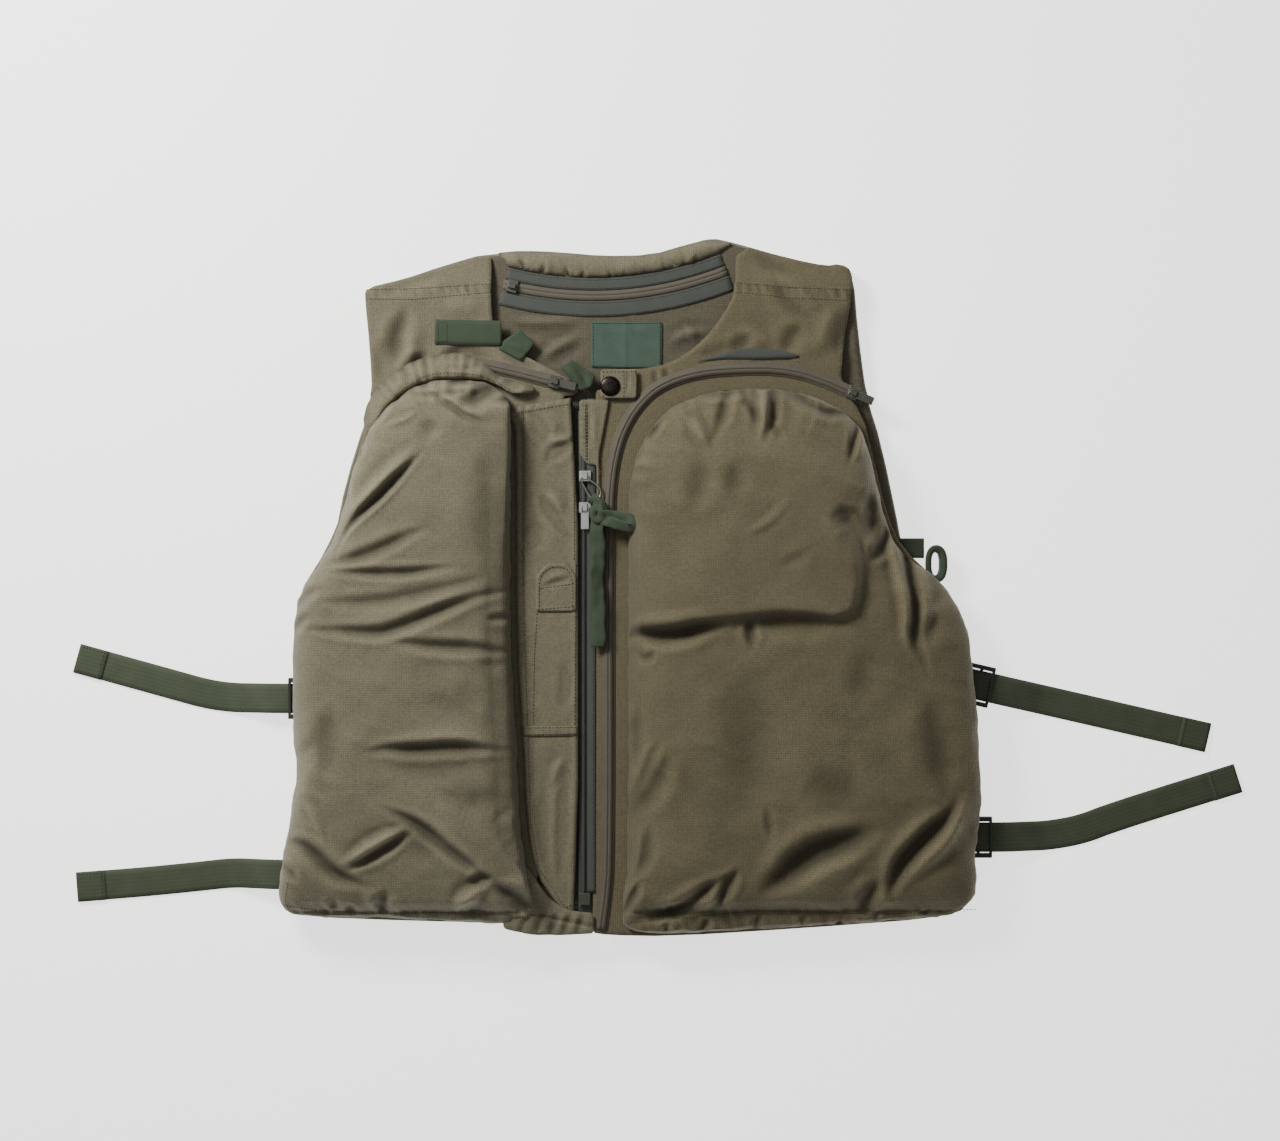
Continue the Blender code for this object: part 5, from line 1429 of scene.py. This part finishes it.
class VEST_OT_main_zip(bpy.types.Operator):
    """Build both halves of the main zip, its sliders, the ring and the tied ribbon"""
    bl_idname = "vest.main_zip"
    bl_label = "Main zip"

    def execute(self, context):
        pitch = context.scene.vest_sizes.coil_pitch / MM
        ys = [-250 + 408 * k / 136 for k in range(137)]
        for side, x, width, level in (("left", -45.65, 7.9, 20.3), ("right", -23.8, 6.6, 22.2)):
            tape = swept("main_" + side + "_tape", [(x, y, level) for y in ys], web_section(width, 0.7),
                         "zip_tape_weave")
            settle(tape, side + "_front", "zip_tape", "main_zip_" + side + "_tape")
        for side, x, level in (("left", -39.65, 20.3), ("right", -29.0, 22.1)):
            core = swept("main_" + side + "_coil_core", [(x, y, level) for y in ys], round_section(0.75, 8),
                         "nylon_zip_coil")
            settle(core, side + "_front", "zip_coil", "main_zip_" + side + "_coil")
            beads_along("main_" + side + "_coil", [[(x, y, level) for y in ys]], pitch, (0.95, 2.9, 2.1),
                        "nylon_zip_coil", side + "_front", "zip_coil")
        stitch_rows("main_right_tape_stitches", [[(-22.0, 156), (-22.0, -248)]], "right_front",
                    [bpy.data.objects["main_right_tape"]], "green_sewing_thread")
        # The turned edge of the right front, which covers the coil from the neck down to the ring
        outline = nipped([(-33.6, 157), (-33.4, 112), (-27, 103.5), (-19.5, 103.5), (-18.4, 40), (-17.9, 40),
                          (-17.2, 112),
                          (-11, 146), (-9, 157)], 1.5)
        tucks = [(0.9, 2.0, [(-27, 156), (-26, 130), (-28, 108)]),
                 (-0.7, 2.4, [(-21, 156), (-22, 136), (-20, 112)]),
                 (0.8, 1.6, [(-33, 142), (-28, 139)]), (0.8, 1.6, [(-33, 126), (-28, 124)])]
        bar = outline_cloth("right_front_facing", outline, 1.6,
                            lambda spots: 24.9 + folded(spots, tucks) + ruffled(spots, 8, 4.0) * 0.4, 1.0,
                            "olive_cotton_cloth", edge=0.7)
        settle(bar, "right_front", "cotton")
        stitch_rows("right_front_facing_stitches", [[(-27.5, 152), (-27.0, 108)], [(-28.6, 152), (-28.1, 108)]],
                    "right_front", [bar], "green_sewing_thread", 2.6)
        # The woven guard that lies under the coil, and the left hem where it passes below the placket
        guard = swept("zip_guard_tape", [(-27.0 + 0.4 * math.sin(y * 0.03), y, 18.4) for y in
                                         [-268 + 8 * k for k in range(53)]], web_section(14.5, 0.7, 0.2),
                                         "zip_tape_weave")
        settle(guard, "right_front", "zip_tape")
        stitch_rows("zip_guard_stitches", [[(-32.4, 150), (-32.4, -262)]], "right_front", [guard],
                    "green_sewing_thread", 2.6)
        hem_outline = nipped([(-96, -228), (-82, -220), (-71, -236), (-59, -254), (-47, -262.5), (-38, -265),
                              (-22, -266.5),
                              (-21.5, -283.5), (-50, -285), (-70, -284), (-96, -278)], 2.0)
        hem_tucks = [(1.6, 2.6, [(x + 4, -264), (x - 4, -288)]) for x in (-80, -67, -55, -44, -33)]
        hem = outline_cloth("left_hem_band", hem_outline, 1.8,
                            lambda spots: 26.6 + 11 * step_up(-spots[:, 0], 54, 84) + folded(spots, hem_tucks)
                            + ruffled(spots, 14, 9.0) * 1.2 - 1.6 * np.exp(-(((spots[:, 1] + 266
                            - (spots[:, 0] + 78) * -0.2) / 2.0) ** 2)), 2.4,
                            "olive_cotton_cloth", edge=1.4)
        settle(hem, "left_front", "cotton")
        stitch_rows("left_hem_stitches", [[(-78, -266), (-60, -269), (-40, -274), (-26, -277)]], "left_front",
                    [hem])

        for name in ("upper", "lower"):
            hard_piece(name + "_slider_body", name + "_slider", "nickel_plated_zinc", "slider_metal",
                       name + "_slider")
        hard_piece("lower_pull_tag", "lower_pull", "nickel_plated_zinc", "slider_metal", "lower_pull")
        hard_piece("zip_retainer", "main_zip_retainer_box", "enamelled_zinc", "slider_metal", "right_front", 0.8)

        bends = [(UPPER_SLIDER[0] + x, UPPER_SLIDER[1] + y, PULL_AXIS_Z) for x, y in RING_PATH]
        ring_line = evenly(soften(bends, 2), 0.8, closed=True)
        ring = swept("wire_ring", ring_line, round_section(0.8, 10), "nickel_plated_zinc", closed=True)
        settle(ring, "upper_pull", "slider_metal", "pull_ring")

        tail_line = evenly(soften([(-15.5, 71, 31.0), (-17, 64, 33.6), (-19.5, 50, 33.0), (-17.5, 30, 31.4),
                                   (-19.5, 8, 31.8), (-18, -18, 30.6), (-18.4, -47, 30.2)], 3, closed=False), 1.6)
        tail = swept("ribbon_tail", tail_line, web_section(12.4, 1.0, 0.7), "green_nylon_ribbon",
                     lean=lambda s: 22 * math.sin(s * 9.0) * (1 - s * 0.4))
        loop_line = evenly(soften([(-20, 60, 32.6), (-10, 62, 36.0), (0, 60, 41.5), (9, 57.5, 48.0),
                                   (12.2, 53, 50.6),
                                   (8.5, 50.5, 49.5), (-1, 53.5, 43.8), (-13, 58, 35.5)], 3, closed=False), 1.4)
        loop = swept("ribbon_loop", loop_line, web_section(9.6, 0.7, 0.3), "green_nylon_ribbon",
                     lean=lambda s: 34 * math.sin(s * 7.0))
        strand_line = evenly(soften([(-24, 76, 28.2), (-17, 72, 31.8), (-13, 64, 34.8), (-17, 58, 35.6),
                                     (-22, 60, 33.6),
                                     (-21, 67, 33.2), (-14, 69, 34.2)], 3, closed=False), 1.2)
        knot = swept("ribbon_knot", strand_line, web_section(9.2, 1.6, 0.9), "green_nylon_ribbon",
                     lean=lambda s: 40 * math.sin(s * 12.0))
        ribbon = joined("pull_ribbon_tied", [tail, loop, knot])
        for vertex in ribbon.data.vertices:
            x, y, z = (c / MM for c in vertex.co)
            vertex.co.z += noise.noise(Vector((x / 5, y / 9, z / 7))) * 1.5 * MM
            vertex.co.x += noise.noise(Vector((y / 11, x / 6, 4.0))) * 1.2 * MM
        settle(ribbon, "upper_pull", "webbing", "pull_ribbon")
        return {"FINISHED"}


class VEST_OT_snap(bpy.types.Operator):
    """Build the snap at the top of the right front and its tab"""
    bl_idname = "vest.snap"
    bl_label = "Snap"

    def execute(self, context):
        outline = nipped([(-16, 158), (13.6, 158), (13.6, 182), (-16, 181.6)], 1.5)

        def top(spots):
            away = np.hypot(spots[:, 0] - SNAP_AT[0], spots[:, 1] - SNAP_AT[1])
            folds = folded(spots, [(1.0, 1.6, [(6, 181), (7, 172), (5, 160)]), (0.8, 1.5, [(11, 180), (11, 162)]),
                                   (-0.8, 2.0, [(-14, 158), (-12, 150)])])
            return 27.0 + (folds + ruffled(spots, 9, 3.0) * 0.4) * step_up(away, 9, 14)

        tab = outline_cloth("snap_tab_cloth", outline, 1.5, top, 1.2, "olive_cotton_cloth", edge=0.8)
        settle(tab, "snap_tab", "cotton", "snap_tab")
        stitch_rows("snap_tab_stitches", [[(-14, 160), (-14, 180)], [(-14, 180), (12, 180)], [(3, 180), (3, 160)]],
                    "snap_tab", [tab])
        profile = [(8.0, 27.35), (8.2, 27.8), (7.9, 28.3), (7.0, 28.9), (5.4, 29.35), (3.0, 29.6), (0.01, 29.7)]
        sides = 48
        points = []
        faces = []
        for radius, z in [(0.01, 27.35)] + profile:
            points += [(SNAP_AT[0] + x, SNAP_AT[1] + y, z) for x, y in round_section(radius, sides)]
        for k in range(len(profile)):
            for i in range(sides):
                j = (i + 1) % sides
                faces.append((k * sides + i, k * sides + j, (k + 1) * sides + j, (k + 1) * sides + i))
        faces += [tuple(range(sides)), tuple(len(profile) * sides + i for i in reversed(range(sides)))]
        cap = mesh_piece("snap_cap_dome", points, faces, "blackened_brass")
        face_outwards(cap)
        settle(cap, "snap_tab", "snap_metal", "snap_cap")
        hard_piece("snap_socket_ring", "snap_socket", "blackened_brass", "snap_metal", "snap_tab", 0.3)
        hard_piece("snap_stud_post", "snap_stud", "blackened_brass", "snap_metal", "right_front", 0.3)
        return {"FINISHED"}


class VEST_OT_tabs(bpy.types.Operator):
    """Build the webbing tab on the chest, the folded ribbon at the neck and the web loops at the armhole"""
    bl_idname = "vest.tabs"
    bl_label = "Tabs and loops"

    def execute(self, context):
        tab = swept("chest_tab_web", evenly([(-153, 213.2, 22.7), (-130, 212.6, 23.3), (-112, 212.2, 23.6),
                                             (-98, 212, 23.0)], 2.0), web_section(20.5, 1.2, 0.3),
                                             "green_nylon_ribbon")
        tail = outline_cloth("chest_tab_tail", nipped([(-101, 199), (-82, 189.4), (-70.4, 203), (-82.5, 215.4),
                                                       (-96, 206)], 0.8), 1.4,
                             lambda spots: 22.9 + folded(spots, [(-0.9, 2.0, [(-95, 205), (-76, 196)])]), 1.0,
                             "green_nylon_ribbon", edge=0.5)
        both = joined("chest_tab_web", [tab, tail])
        settle(both, "chest_tab", "webbing", "chest_tab")
        box = [(-150.5, 205), (-150.5, 221), (-143, 221), (-143, 205), (-150.5, 205)]
        stitch_rows("chest_tab_stitches", [box], "chest_tab", [both], "green_sewing_thread", 2.6, slot="webbing")

        loop = outline_cloth("neck_ribbon_loop",
                             nipped([(-50, 184), (-40, 190), (-20, 177), (-24, 167), (-33, 164.5)], 0.8),
                             1.4, lambda spots: 26.8 + folded(spots,
                                                              [(-1.6, 3.0, [(-48, 186), (-36, 176), (-29, 166)]),
                                                                     (1.2, 2.5, [(-40, 186), (-31, 178), (-26, 168)])]),
                             0.9, "green_nylon_ribbon", edge=0.5)
        settle(loop, "left_front", "webbing", "neck_tape_loop")

        web = swept("armhole_tab_web", evenly([(214, 34.5, 13.6), (235, 34.5, 13.7), (252, 34.5, 13.7)], 2.0),
                    web_section(16.6, 1.2), "green_nylon_ribbon")
        settle(web, "root", "webbing", "armhole_web_tab")
        hoop = evenly(soften([(-6.1, -12.5), (6.1, -12.5), (6.1, 12.5), (-6.1, 12.5)], 3), 1.2, closed=True)
        ring = swept("armhole_loop_web", [(262 + x, 21.5 + y, 10.5) for x, y in hoop],
                     [(-3.2, -5.0), (-1.6, -6.3), (0.6, -6.3), (3.2, 5.0), (2.2, 6.3), (-1.4, 6.3)],
                     "green_nylon_ribbon", closed=True)
        settle(ring, "root", "webbing", "armhole_web_loop")
        return {"FINISHED"}


class VEST_OT_straps(bpy.types.Operator):
    """Build the four side straps, each through its ladder buckle"""
    bl_idname = "vest.straps"
    bl_label = "Side straps"

    def execute(self, context):
        for name, spec in STRAPS.items():
            centre = Vector(spec["buckle"])
            out = (Vector(spec["route"][0]) - centre).normalized()
            path = [(*(centre - out * 70), STRAP_MID), (*(centre - out * 20), STRAP_MID),
                    (*(centre + out * 23), STRAP_MID),
                    (*(centre + out * 39), (STRAP_MID + STRAP_TABLE) / 2)]
            path += [(x, y, STRAP_TABLE) for x, y in spec["route"]]
            line = evenly(soften(path, 2, closed=False), 3.0)
            strap = swept(name + "_strap_web", line, web_section(STRAP_WIDTH, 1.3), "olive_nylon_webbing")
            # The hemmed tip: the last 24 mm is turned back and sewn down
            tip = line[-9:]
            hem = swept(name + "_strap_hem", [(x, y, z + 1.25) for x, y, z in tip],
                        web_section(STRAP_WIDTH + 0.3, 1.2),
                        "olive_nylon_webbing")
            whole = joined(name + "_strap_web", [strap, hem])
            settle(whole, name + "_strap", "webbing", name + "_strap")
            a = Vector(tip[1][:2])
            b = Vector(tip[-2][:2])
            side = Vector((-(b - a).y, (b - a).x)).normalized() * 10.4
            rows = [[a - side, a + side], [a - side, b - side], [a + side, b + side]]
            stitch_rows(name + "_strap_stitches", [[tuple(p) for p in row] for row in rows], name + "_strap",
                        [whole],
                        "green_sewing_thread", 2.6, slot="webbing")
            hard_piece(name + "_ladder_buckle", name + "_buckle", "moulded_nylon", "buckle_plastic", "root", 0.6)
            hard_piece(name + "_buckle_web", name + "_buckle_loop", "olive_nylon_webbing", "webbing", "root", 0.4)
        return {"FINISHED"}


class VEST_PT_panel(bpy.types.Panel):
    """The vest's sizes, colours and pieces"""
    bl_idname = "VEST_PT_panel"
    bl_label = "Fishing Vest"
    bl_space_type = "VIEW_3D"
    bl_region_type = "UI"
    bl_category = "Fishing Vest"

    def draw(self, context):
        for group in (context.scene.vest_sizes, context.scene.vest_colours):
            for name in group.bl_rna.properties.keys():
                if name not in ("rna_type", "name"):
                    self.layout.prop(group, name)
        for operator in OPERATORS:
            self.layout.operator(operator.bl_idname)


OPERATORS = (VEST_OT_stage, VEST_OT_back, VEST_OT_fronts, VEST_OT_collar, VEST_OT_pads, VEST_OT_pocket_zips,
             VEST_OT_placket, VEST_OT_main_zip, VEST_OT_snap, VEST_OT_tabs, VEST_OT_straps)
CLASSES = (VestSizes, VestColours, *OPERATORS, VEST_PT_panel)


def register():
    for cls in CLASSES:
        bpy.utils.register_class(cls)
    bpy.types.Scene.vest_sizes = PointerProperty(type=VestSizes)
    bpy.types.Scene.vest_colours = PointerProperty(type=VestColours)


def unregister():
    del bpy.types.Scene.vest_colours
    del bpy.types.Scene.vest_sizes
    for cls in reversed(CLASSES):
        bpy.utils.unregister_class(cls)


def main():
    register()
    for operator in OPERATORS:
        group, name = operator.bl_idname.split(".")
        getattr(getattr(bpy.ops, group), name)()
    bpy.context.view_layer.update()


if __name__ == "__main__":
    main()
